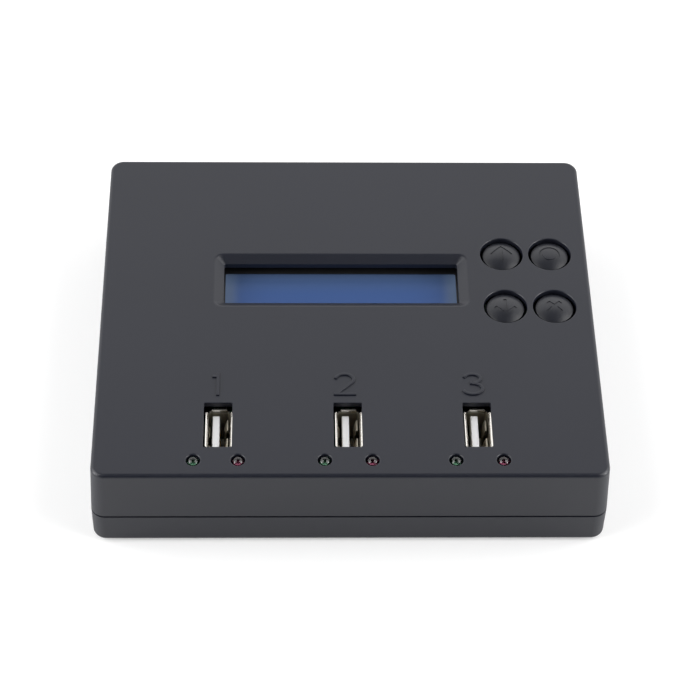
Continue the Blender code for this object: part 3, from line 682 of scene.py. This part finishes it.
def lathe(name, profile, place, steps=48):
    """Traces (radius, height) points beside an upright axis and spins them into a solid."""
    bpy.ops.object.select_all(action="DESELECT")
    radius, z = profile[0]
    bpy.ops.mesh.primitive_plane_add(size=hair, location=(place[0] + radius, place[1], z))
    bpy.ops.object.transform_apply()
    piece = bpy.context.object
    piece.name = name
    bpy.ops.object.mode_set(mode="EDIT")
    bpy.ops.mesh.select_mode(type="VERT")
    pick_all()
    bpy.ops.mesh.merge(type="CENTER")
    for (near, low), (far, high) in zip(profile, profile[1:]):
        bpy.ops.mesh.extrude_vertices_move(
            TRANSFORM_OT_translate={"value": (far - near, 0, high - low)}
        )
    pick_all()
    bpy.ops.mesh.spin(steps=steps, angle=math.tau, center=(place[0], place[1], 0), axis=(0, 0, 1))
    pick_all()
    bpy.ops.mesh.remove_doubles(threshold=hair / 10)
    bpy.ops.mesh.normals_make_consistent(inside=False)
    stop_editing()
    return piece


def bow(centre, reach, start, end, steps=12):
    """Points along part of an oval, angles in degrees from the right, anticlockwise."""
    turns = [math.radians(start + (end - start) * step / steps) for step in range(steps + 1)]
    return [(centre[0] + reach[0] * math.cos(turn), centre[1] + reach[1] * math.sin(turn))
            for turn in turns]


def arc(centre, radius, start, end, steps):
    """Points along an arc, on a lathe's profile or on the plan."""
    return bow(centre, (radius, radius), start, end, steps)


tinned_steel = plated_metal("tinned_steel", (0.85, 0.85, 0.84), roughness=0.45)
for colour_name, colour in light_tints.items():
    epoxy_tint = tinted_epoxy(f"light_{colour_name}", colour)
    for number in port_numbers:
        node = f"light_{colour_name}_{number}"
        light_low, light_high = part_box(node)
        place = middle(node).xy
        flange_z = light_high.z - lens_sink - lens_height
        dome_z = light_high.z - lens_sink - lens_radius
        profile = [(0, flange_z), (lens_flange_radius, flange_z)]
        rim_z = flange_z + lens_flange_height
        profile += arc((lens_flange_radius - edge_break, rim_z - edge_break), edge_break, 0, 90, 3)
        profile += [(lens_radius, rim_z)]
        profile += arc((0, dome_z), lens_radius, 0, 90, 14)
        lens = lathe(f"light_lens_{colour_name}_{number}", profile, place)
        shade(lens, epoxy_tint)
        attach(lens, "case")
        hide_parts(node)
        frames = []
        for side, width, top in ((-1, anvil_width, anvil_top), (1, post_width, post_top)):
            neck_z = flange_z + lens_flange_height / 2
            lead = start_post("lead", (place.x + side * lead_reach, place.y), lead_width,
                              lead_width, light_low.z, neck_z)
            pick("FACE", level_at(neck_z))
            bpy.ops.transform.translate(value=(-side * plate_shift, 0, lens_flange_height / 2))
            push(top - lens_flange_height)
            bpy.ops.transform.resize(value=(width / lead_width, plate_depth / lead_width, 1))
            stop_editing()
            frames.append(lead)
        cup_z = flange_z + anvil_top
        cup = round_bar("cup", cup_radius, cup_z - cup_radius, cup_z + overrun,
                        (place.x - lead_reach + plate_shift, place.y), 24)
        combine(frames[0], "DIFFERENCE", [cup])
        join(frames)
        frames[0].name = f"light_leads_{colour_name}_{number}"
        shade(frames[0], tinned_steel)
        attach(frames[0], "case")


# Display. A two-line liquid crystal module: black sheet metal frame with folded sides, a glass
# cell under a blue polariser that shows through the frame, a clear light guide, two elastomer
# connector strips, and its own board with a driver under a drop of epoxy.
frame_sheet = 0.0003
frame_fold = 0.00045
frame_edge = frame_fold * 0.6
view_width = 0.0619
view_length = 0.0143
view_corner_radius = 0.0006
polariser_inset = 0.0012
polariser_rise = 0.00015
cell_roughness = 0.45
cell_ripple = 0.004
cell_relief = 0.000002
# Painted light: the cell's blue is lighter and greyer towards its rear and its ends than at the
# front, standing in for light where the recess walls shade the cell.
painted_light_rear_run = 0.0007
painted_light_front_run = 0.0010
painted_light_end_run = 0.0045
painted_light_rear_blue, front_blue = (0.054, 0.090, 0.182), (0.0115, 0.053, 0.186)
painted_light_rear_end_blue, painted_light_front_end_blue = (0.144, 0.207, 0.333), (0.089, 0.142, 0.254)


def rounded_outline(width, length, radius, z, centre, steps=8):
    """A flat rounded rectangle, as one face."""
    bpy.ops.object.select_all(action="DESELECT")
    bpy.ops.mesh.primitive_plane_add(size=1, location=(centre[0], centre[1], z))
    bpy.context.object.scale = (width, length, 1)
    bpy.ops.object.transform_apply()
    bpy.ops.object.mode_set(mode="EDIT")
    bpy.ops.mesh.select_mode(type="VERT")
    pick_all()
    bpy.ops.mesh.bevel(offset=radius, segments=steps, affect="VERTICES")
    stop_editing()
    return bpy.context.object


def loft(name, outlines):
    """A solid through flat outlines that lie one above the other."""
    piece = join(outlines)
    piece.name = name
    edit(piece)
    pick_all()
    bpy.ops.mesh.delete(type="ONLY_FACE")
    pick_all()
    bpy.ops.mesh.bridge_edge_loops()
    pick_all()
    bpy.ops.mesh.fill_holes(sides=0)
    pick_all()
    bpy.ops.mesh.normals_make_consistent(inside=False)
    stop_editing()
    return piece


def squared_hole(places, width, length, z):
    """A test for edges that run round any of several squared holes at one height."""
    def test(edge):
        return level_at(z)(edge) and any(
            all(abs(vert.co.x - place[0]) < width / 2 + hair
                and abs(vert.co.y - place[1]) < length / 2 + hair for vert in edge.verts)
            for place in places
        )
    return test


def display_cell():
    """The glass cell: blue polariser, deeper blue towards the front, painted lighter and greyer
    towards its rear and its ends as painted light where the recess walls shade it.
    """
    material, tree, shader = new_finish("display_cell", cell_roughness)
    axes = axes_of(tree)
    rows = ramp(tree, axes["Y"], display_centre.y + view_length / 2 + painted_light_rear_run,
                display_centre.y - painted_light_front_run, kind="SMOOTHSTEP")
    sideways = tree.nodes.new("ShaderNodeMath")
    sideways.operation = "SUBTRACT"
    sideways.inputs[1].default_value = display_centre.x
    tree.links.new(axes["X"], sideways.inputs[0])
    reach = tree.nodes.new("ShaderNodeMath")
    reach.operation = "ABSOLUTE"
    tree.links.new(sideways.outputs[0], reach.inputs[0])
    columns = ramp(tree, reach.outputs[0], view_width / 2, view_width / 2 - painted_light_end_run,
                   kind="SMOOTHSTEP")
    blue = blend_colours(tree, rows, painted_light_rear_blue, front_blue)
    ends = blend_colours(tree, rows, painted_light_rear_end_blue, painted_light_front_end_blue)
    tree.links.new(blend_colours(tree, columns, ends, blue), shader.inputs["Base Color"])
    bump(tree, shader, noise(tree, cell_ripple), cell_relief)
    return material


frame_low, frame_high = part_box("display_frame")
display_centre = (frame_low + frame_high) / 2
bezel = start_block("display_bezel", frame_low, frame_high)
round_edges(upright, frame_fold, 3)
round_edges(level_at(frame_high.z), frame_edge, 3)
pick("FACE", level_at(frame_low.z))
inset(frame_sheet)
push(frame_high.z - frame_low.z - frame_sheet)
stop_editing()
view_cut = loft("view", [
    rounded_outline(view_width, view_length, view_corner_radius, z, display_centre)
    for z in (frame_high.z - overrun, frame_high.z + overrun)
])
combine(bezel, "DIFFERENCE", [view_cut])
edit(bezel)
round_edges(squared_hole([display_centre.xy], view_width, view_length, frame_high.z),
            frame_sheet / 5)
shade(bezel, moulded_plastic("frame_metal", (0.012, 0.012, 0.013), roughness=0.40,
                             lump=0.0005, depth=0.000002))
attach(bezel, "case")
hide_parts("display_frame")

glass_low, glass_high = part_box("display_glass")
cell = start_block("display_cell", glass_low, glass_high)
round_edges(lambda edge: True, edge_break)
pick("FACE", level_at(glass_high.z))
inset(polariser_inset)
push(polariser_rise)
shade(cell, display_cell())
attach(cell, "case")
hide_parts("display_glass")

dress(["display_backlight"],
      moulded_plastic("backlight_acrylic", (0.80, 0.82, 0.85), roughness=0.25))
dress(["display_strip_front", "display_strip_rear"],
      moulded_plastic("strip_rubber", (0.22, 0.03, 0.03), roughness=0.7, lump=0.0005))
black_plastic = moulded_plastic("black_plastic", (0.010, 0.010, 0.011), roughness=0.38)
dress(["display_driver"], epoxy)
dress(["display_header"], black_plastic)


# Switches. Four 6 mm tactile switches, each a black housing with a snap dome of sprung steel
# under a plunger, on which the button cap's stem sits.
button_names = ("up", "confirm", "down", "cancel")
for part, finish in (("housing", black_plastic), ("plunger", black_plastic), ("dome", can_metal)):
    dress([f"switch_{part}_{name}" for name in button_names], finish)


# Power inlet. A black moulded socket for a barrel plug, soldered to the board behind the rear
# wall, with a turned centre pin whose tip is rounded, inside a bore with a small lead-in.
inlet_bore_radius = 0.00315
inlet_bore_depth = 0.0095
inlet_lead_in = 0.0003
inlet_edge = 0.0004
pin_radius = 0.0010
pin_tip_round = pin_radius * 0.6


def level_bar(name, radius, front_y, rear_y, sides=64):
    """A round bar lying on the inlet's axis, used as its pin or a cutter."""
    centre = (inlet_axis.x, (front_y + rear_y) / 2, inlet_axis.z)
    return cylinder(name, radius, rear_y - front_y, centre, sides, math.pi / 2)


def facing_back(y):
    """A test for faces and edges that lie in one plane across the object."""
    return lambda item: all(abs(vert.co.y - y) < hair for vert in item.verts)


inlet_low, inlet_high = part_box("inlet_body")
pin_low, pin_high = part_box("inlet_pin")
inlet_axis = (pin_low + pin_high) / 2
inlet = start_block("inlet_housing", inlet_low, inlet_high)
round_edges(lambda edge: True, inlet_edge, 3)
stop_editing()
bore = level_bar("bore", inlet_bore_radius, inlet_high.y - inlet_bore_depth,
                 inlet_high.y + overrun)
combine(inlet, "DIFFERENCE", [bore])
edit(inlet)
pick("EDGE", lambda edge: facing_back(inlet_high.y)(edge) and all(
    abs((vert.co - inlet_axis).xz.length - inlet_bore_radius) < hair for vert in edge.verts))
soften(inlet_lead_in)
shade(inlet, black_plastic)
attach(inlet, "case")
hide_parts("inlet_body")

pin = level_bar("inlet_centre_pin", pin_radius, pin_low.y, pin_high.y, 40)
edit(pin)
round_edges(facing_back(pin_high.y), pin_tip_round, 5)
shade(pin, plated_metal("pin_nickel", (0.80, 0.78, 0.74), roughness=0.22))
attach(pin, "case")
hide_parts("inlet_pin")


# Top cover. The upper half of the case, moulded in the same plastic, its sides drafted and its
# top edges rolled over. The display sits in a recess with sloping sides, the buttons in holes
# with rounded rims, and the port numbers stand up from the surface.
cover_draft = math.radians(2.6)
front_lean = 0.0005
top_fillet = 0.0010
ceiling_wall = 0.0015
recess_depth = 0.0015
recess_side_run = 0.0026
recess_end_run = 0.00235
recess_corner_radius = 0.0023
recess_edge = 0.00035
window_width = 0.0625
window_length = 0.0141
window_corner_radius = 0.0005
window_lip_depth = 0.00290
pad_border = 0.0015
board_boss_radius = 0.0030
button_hole_radius = 0.00575
button_rim = 0.0003
light_hole_radius = 0.00175
light_rim = 0.00035
port_width = 0.00722
port_length = 0.0143
port_corner_radius = 0.00025
socket_shift = 0.00025
rim_break = 0.00015
inlet_hole_radius = 0.0042
case_boss_tip = 0.0128
pilot_radius = 0.0016
pilot_depth = 0.0088
stake_reach = (0.0375, 0.0155)
stake_radius = 0.0010
stake_head_radius = 0.0018
stake_head_height = 0.0009
stake_head_edge = 0.0002
stake_face_radius = 0.0012
stake_face_edge = 0.0001
stake_collar_radius = 0.0024
digit_height = 0.0076
digit_width = 0.0059
digit_stroke = 0.0008
digit_rise = 0.00035
digit_edge = 0.00010
digit_y = -0.0262
digit_shift = -0.00055

digit_lines = {
    1: [[(0.56, 0.0), (0.56, 1.0)], [(0.31, 0.84), (0.56, 0.84)]],
    2: [bow((0.48, 0.70), (0.40, 0.24), 172, -25) + [(0.12, 0.075)], [(0.0, 0.06), (0.97, 0.06)]],
    3: [bow((0.47, 0.74), (0.37, 0.20), 168, -90), [(0.36, 0.54), (0.47, 0.54)],
        bow((0.47, 0.295), (0.43, 0.235), 90, -165)],
}


def ridge(name, points, width, low_z, high_z, curved, closed=False, edge=0.0):
    """A wall of one width that stands along a line drawn on the plan."""
    bpy.ops.object.select_all(action="DESELECT")
    bpy.ops.curve.primitive_bezier_curve_add(location=(0, 0, 0))
    line = bpy.context.object
    line.name = name
    line.data.dimensions = "2D"
    line.data.fill_mode = "NONE"
    line.data.resolution_u = 10
    line.data.extrude = (high_z - low_z) / 2
    spline = line.data.splines[0]
    spline.bezier_points.add(len(points) - 2)
    spline.use_cyclic_u = closed
    for knot, (x, y) in zip(spline.bezier_points, points):
        knot.co = (x, y, 0)
        knot.handle_left_type = "AUTO" if curved else "VECTOR"
        knot.handle_right_type = "AUTO" if curved else "VECTOR"
    bpy.ops.object.convert(target="MESH")
    piece = bpy.context.object
    piece.location.z = (low_z + high_z) / 2
    bpy.ops.object.transform_apply()
    edit(piece)
    pick_all()
    bpy.ops.mesh.remove_doubles(threshold=hair / 10)
    stop_editing()
    apply_modifier(piece, "SOLIDIFY", thickness=width, offset=0, use_even_offset=True)
    if edge:
        edit(piece)
        round_edges(level_at(high_z), edge)
        stop_editing()
    return piece


cover = start_block("cover_shell", cover_low, cover_high)
pick("FACE", level_at(cover_high.z))
draw_in(cover_low, cover_high, cover_draft, cover_high.z - cover_low.z)
pick("EDGE", lambda edge: level_at(cover_high.z)(edge)
     and all(vert.co.y < 0 for vert in edge.verts))
bpy.ops.transform.translate(value=(0, -front_lean, 0))
round_edges(upright, corner_radius, 12)
round_edges(level_at(cover_high.z), top_fillet, 8)
round_edges(level_at(cover_low.z), edge_break)
joint_z = base_high.z + clearance
joint_inset = side_wall - lip_thickness - clearance
ceiling_z = cover_high.z - ceiling_wall
pick("FACE", level_at(cover_low.z))
inset(joint_inset - edge_break)
push(joint_z - cover_low.z)
inset(side_wall - joint_inset)
push(ceiling_z - joint_z)
draw_in(cover_low, cover_high, cover_draft, ceiling_z - joint_z)
stop_editing()

top_z = cover_high.z
root_z = ceiling_z + ceiling_wall / 2
board_screw_places = [middle(f"board_screw_{corner}").xy for corner in corner_names]
display_board_low, display_board_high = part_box("display_board")
head_z = display_board_low.z - clearance
face_z = head_z - stake_head_height
seat_z = display_board_high.z + clearance
stake_profile = [
    (0, face_z), (stake_face_radius, face_z + stake_face_edge),
    (stake_head_radius, head_z - stake_head_edge), (stake_head_radius, head_z),
    (stake_radius, head_z), (stake_radius, seat_z), (stake_collar_radius, seat_z),
    (stake_collar_radius, root_z), (0, root_z),
]
stakes = []
for side in (-1, 1):
    for end in (-1, 1):
        place = display_centre.xy + Vector((side * stake_reach[0], end * stake_reach[1]))
        stakes.append(lathe("stake", stake_profile, place, 32))
recess_width = window_width + 2 * recess_side_run
recess_length = window_length + 2 * recess_end_run
pad = loft("pad", [
    rounded_outline(recess_width + 2 * pad_border, recess_length + 2 * pad_border,
                    recess_corner_radius, z, display_centre)
    for z in (top_z - window_lip_depth, root_z)
])
bosses = bars("boss", case_boss_radius, joint_z, root_z, screw_places)
bosses += bars("boss", board_boss_radius, board_high.z + clearance, root_z, board_screw_places)
combine(cover, "UNION", [pad, *bosses, *stakes])

window = (window_width, window_length, window_corner_radius)
recess = (recess_width, recess_length, recess_corner_radius)
cuts = [loft("window", [
    rounded_outline(*window, top_z - window_lip_depth - overrun, display_centre),
    rounded_outline(*window, top_z - recess_depth, display_centre),
    rounded_outline(*recess, top_z, display_centre),
    rounded_outline(*recess, top_z + overrun, display_centre),
])]
button_places = {name: middle(f"button_cap_{name}").xy for name in button_names}
light_places = [middle(f"light_{colour}_{number}").xy
                for colour in light_tints for number in port_numbers]
through = (ceiling_z - overrun, top_z + overrun)
cuts += bars("hole", button_hole_radius, *through, button_places.values(), 96)
cuts += bars("hole", light_hole_radius, *through, light_places, 64)
port_places = [place - Vector((socket_shift, 0)) for place in socket_places]
cuts += [
    loft("port", [rounded_outline(port_width, port_length, port_corner_radius, z, place, 4)
                  for z in through])
    for place in port_places
]
cuts.append(level_bar("hole", inlet_hole_radius, cover_high.y - side_wall - overrun,
                      cover_high.y + overrun))
case_bore_z = base_low.z + counterbore_depth + case_boss_tip
cuts += bars("bore", pilot_radius, joint_z - overrun, case_bore_z, screw_places)
cuts += bars("bore", pilot_radius, board_low.z, board_low.z + pilot_depth, board_screw_places)
combine(cover, "DIFFERENCE", cuts)

digits = []
for number, place in zip(digit_lines, port_places):
    corner = Vector((place.x + digit_shift - digit_width / 2, digit_y - digit_height / 2))
    for points in digit_lines[number]:
        drawn = [(corner.x + x * digit_width, corner.y + y * digit_height) for x, y in points]
        digits.append(ridge("digit", drawn, digit_stroke, top_z - digit_rise, top_z + digit_rise,
                            False, edge=digit_edge))
combine(cover, "UNION", digits)

edit(cover)
round_edges(round_hole(button_places.values(), button_hole_radius, top_z), button_rim, 5)
round_edges(round_hole(light_places, light_hole_radius, top_z), light_rim, 4)
round_edges(squared_hole(port_places, port_width, port_length, top_z), rim_break)
round_edges(squared_hole([display_centre.xy], recess_width, recess_length, top_z), recess_edge, 4)
shade(cover, case_plastic)
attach(cover, "case")
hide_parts("top_cover")


# Button caps. Domed caps moulded in a smoother dark grey plastic, each with its sign sunk into
# the dome, two ears that keep it under the cover, and a stem down to its switch.
cap_colour = (0.0110, 0.0120, 0.0170)
cap_gap = 0.0007
cap_rim_depth = 0.0010
cap_skirt_height = 0.0020
cap_stem_radius = 0.0022
cap_edge = 0.00015
cap_ear_width = 0.0050
cap_ear_thickness = 0.0012
sign_depth = 0.00018
sign_stroke = 0.00085
arrow_reach = 0.0027
arrow_half_length = 0.0027
ring_radius = 0.00231
cross_reach = 0.0017
cross_stroke = 0.0011


def sign_strokes(name, place, low_z, high_z):
    """The cutters that draw a cap's sign: an arrow, a ring or a cross."""
    def draw(points, width=sign_stroke, curved=False, closed=False):
        placed = [(place.x + x, place.y + y) for x, y in points]
        return ridge("sign", placed, width, low_z, high_z, curved, closed)

    if name in ("up", "down"):
        way = 1 if name == "up" else -1
        tip = (0, way * arrow_half_length)
        head = [(side * arrow_reach, way * (arrow_half_length - arrow_reach)) for side in (-1, 1)]
        return [draw([head[0], tip, head[1]]), draw([(0, -way * arrow_half_length), tip])]
    if name == "confirm":
        return [draw(arc((0, 0), ring_radius, 0, 360, 12)[:-1], curved=True, closed=True)]
    return [
        draw([(-cross_reach, -tilt), (cross_reach, tilt)], cross_stroke)
        for tilt in (-cross_reach, cross_reach)
    ]


cap_plastic = moulded_plastic("cap_plastic", cap_colour, roughness=0.35, lump=0.0003,
                              depth=0.000002)
for name, place in button_places.items():
    cap_low, cap_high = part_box(f"button_cap_{name}")
    cap_radius = button_hole_radius - cap_gap
    rim_z = top_z - cap_rim_depth
    rise = cap_high.z - rim_z
    dome = (cap_radius ** 2 + rise ** 2) / (2 * rise)
    lean = math.degrees(math.asin(cap_radius / dome))
    skirt_z = rim_z - cap_skirt_height
    profile = [(0, cap_low.z), (cap_stem_radius, cap_low.z), (cap_stem_radius, skirt_z),
               (cap_radius, skirt_z), (cap_radius, rim_z)]
    profile += arc((0, cap_high.z - dome), dome, 90 - lean, 90, 24)[1:]
    cap = lathe(f"button_{name}_cap", profile, place, 96)
    ear_z = ceiling_z - clearance
    ears = start_post("ears", (cap_low + cap_high) / 2, cap_ear_width, cap_high.y - cap_low.y,
                      ear_z - cap_ear_thickness, ear_z)
    stop_editing()
    combine(cap, "UNION", [ears])
    cutters = sign_strokes(name, place, rim_z, cap_high.z + overrun)
    if len(cutters) > 1:
        combine(cutters[0], "UNION", cutters[1:])
    bpy.ops.object.select_all(action="DESELECT")
    bpy.ops.mesh.primitive_uv_sphere_add(
        segments=96, ring_count=96, radius=dome - sign_depth,
        location=(place.x, place.y, cap_high.z - dome),
    )
    bpy.ops.object.transform_apply()
    combine(cutters[0], "DIFFERENCE", [bpy.context.object])
    combine(cap, "DIFFERENCE", [cutters[0]])
    edit(cap)
    pick_all()
    bpy.ops.mesh.fill_holes(sides=4)
    round_edges(round_hole([place], cap_radius, rim_z), cap_edge, 3)
    shade(cap, cap_plastic, 30)
    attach(cap, f"button_{name}")
    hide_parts(f"button_cap_{name}")


# Case screws. Zinc plated pan head screws with a cross recess, up through the base's counterbores
# into the cover's corner bosses.
screw_head_radius = 0.0026
screw_head_height = 0.0020
screw_head_round = 0.0009
screw_face_radius = 0.0010
screw_face_dip = 0.00003
screw_shank_radius = 0.0013
screw_length = 0.0120
recess_arm = 0.0026
recess_blade = 0.0007
recess_drive_depth = 0.0012
drive_taper = 0.5

for corner, place in zip(corner_names, screw_places):
    screw_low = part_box(f"case_screw_{corner}")[0]
    head_z = screw_low.z + screw_head_height
    tip_z = head_z + screw_length
    drive_z = screw_low.z + recess_drive_depth
    profile = [(0, screw_low.z), (screw_face_radius, screw_low.z + screw_face_dip)]
    profile += arc((screw_head_radius - screw_head_round, screw_low.z + screw_head_round),
                   screw_head_round, -80, 0, 6)
    profile += [(screw_head_radius, head_z), (screw_shank_radius, head_z),
                (screw_shank_radius, tip_z - screw_shank_radius), (0, tip_z)]
    screw = lathe(f"case_screw_{corner}_pan", profile, place)
    blades = []
    for width, depth in ((recess_arm, recess_blade), (recess_blade, recess_arm)):
        blade = start_post("blade", place, width, depth, screw_low.z - overrun, drive_z)
        pick("FACE", level_at(drive_z))
        bpy.ops.transform.resize(value=(drive_taper, drive_taper, 1))
        stop_editing()
        blades.append(blade)
    combine(screw, "DIFFERENCE", blades)
    shade(screw, screw_steel)
    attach(screw, "case")
    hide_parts(f"case_screw_{corner}")


# Feet. Four round pads of black rubber, stuck into recesses in the base, their lower edges
# rounded and a shallow dish in the middle of each.
foot_edge = 0.00018
foot_dish_share = 0.45
foot_rubber = moulded_plastic("foot_rubber", (0.016, 0.016, 0.016), roughness=0.8, lump=0.0004,
                              depth=0.00001)
for corner, place in zip(corner_names, foot_places):
    foot_low, foot_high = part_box(f"foot_{corner}")
    foot_radius = (foot_high.x - foot_low.x) / 2
    foot = round_bar(f"foot_{corner}_pad", foot_radius, foot_low.z, foot_high.z, place, 64)
    edit(foot)
    round_edges(level_at(foot_low.z), foot_edge, 3)
    pick("FACE", level_at(foot_low.z))
    inset(foot_radius * foot_dish_share)
    inset(foot_edge)
    bpy.ops.transform.translate(value=(0, 0, foot_edge))
    shade(foot, foot_rubber)
    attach(foot, "case")
    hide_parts(f"foot_{corner}")


# Studio. A faintly lit white table in white surroundings, a dark card over the front where the
# camera stands, large soft lamps high at both sides, smaller ones low, and the camera.
floor_size = 6.0
card_distance = 1.0
card_tilt = math.radians(30)
card_size = (2.6, 3.4)
card_black = (0.01, 0.01, 0.01)
lamp_distance = 1.0
lamp_kinds = [((0.72, -0.10, 0.69), 0.8, 6.5), ((0.92, -0.26, 0.27), 0.4, 3.6)]
world_light = 1.32
table_bounce = 0.83
table_tone = 0.70
table_glow = 0.34
focal_length = 121.8
camera_place = (-0.015393, -0.419040, 0.488597)
camera_turn = (math.radians(41.215), math.radians(-1.128), math.radians(-0.948))

bpy.ops.object.select_all(action="DESELECT")
bpy.ops.mesh.primitive_plane_add(size=floor_size, location=(0, 0, 0))
floor = bpy.context.object
floor.name = "floor"
floor_paper, tree, shader = new_finish("floor_paper", 1.0)
rays = tree.nodes.new("ShaderNodeLightPath")
seen = rays.outputs["Is Camera Ray"]
paper = blend_colours(tree, seen, (table_bounce,) * 3, (table_tone,) * 3)
tree.links.new(paper, shader.inputs["Base Color"])
glow = blend_colours(tree, seen, (0, 0, 0), (table_glow,) * 3)
tree.links.new(glow, shader.inputs["Emission Color"])
shader.inputs["Emission Strength"].default_value = 1.0
shader.inputs["Specular IOR Level"].default_value = 0.0
floor.data.materials.append(floor_paper)

bpy.ops.object.select_all(action="DESELECT")
bpy.ops.mesh.primitive_plane_add(
    size=1, location=(0, -card_distance * math.sin(card_tilt), card_distance * math.cos(card_tilt)),
    rotation=(card_tilt, 0, 0),
)
card = bpy.context.object
card.name = "dark_card"
card.scale = (card_size[0], card_size[1], 1)
card.visible_camera = False
card_felt, tree, shader = new_finish("card_felt", 1.0)
shader.inputs["Base Color"].default_value = (*card_black, 1)
shader.inputs["Specular IOR Level"].default_value = 0.0
card.data.materials.append(card_felt)

for aim, size, power in lamp_kinds:
    for side in (-1, 1):
        towards = Vector((side * aim[0], aim[1], aim[2]))
        bpy.ops.object.light_add(type="AREA", location=towards * lamp_distance)
        lamp = bpy.context.object
        lamp.data.size = size
        lamp.data.energy = power
        lamp.rotation_euler = towards.to_track_quat("Z", "Y").to_euler()

world = bpy.data.worlds.new("surroundings")
bpy.context.scene.world = world
world.use_nodes = True
sky = world.node_tree.nodes["Background"]
sky.inputs["Color"].default_value = (1, 1, 1, 1)
sky.inputs["Strength"].default_value = world_light

bpy.ops.object.camera_add(location=camera_place, rotation=camera_turn)
camera = bpy.context.object
camera.data.lens = focal_length
bpy.context.scene.camera = camera
bpy.context.scene.view_settings.view_transform = "Standard"
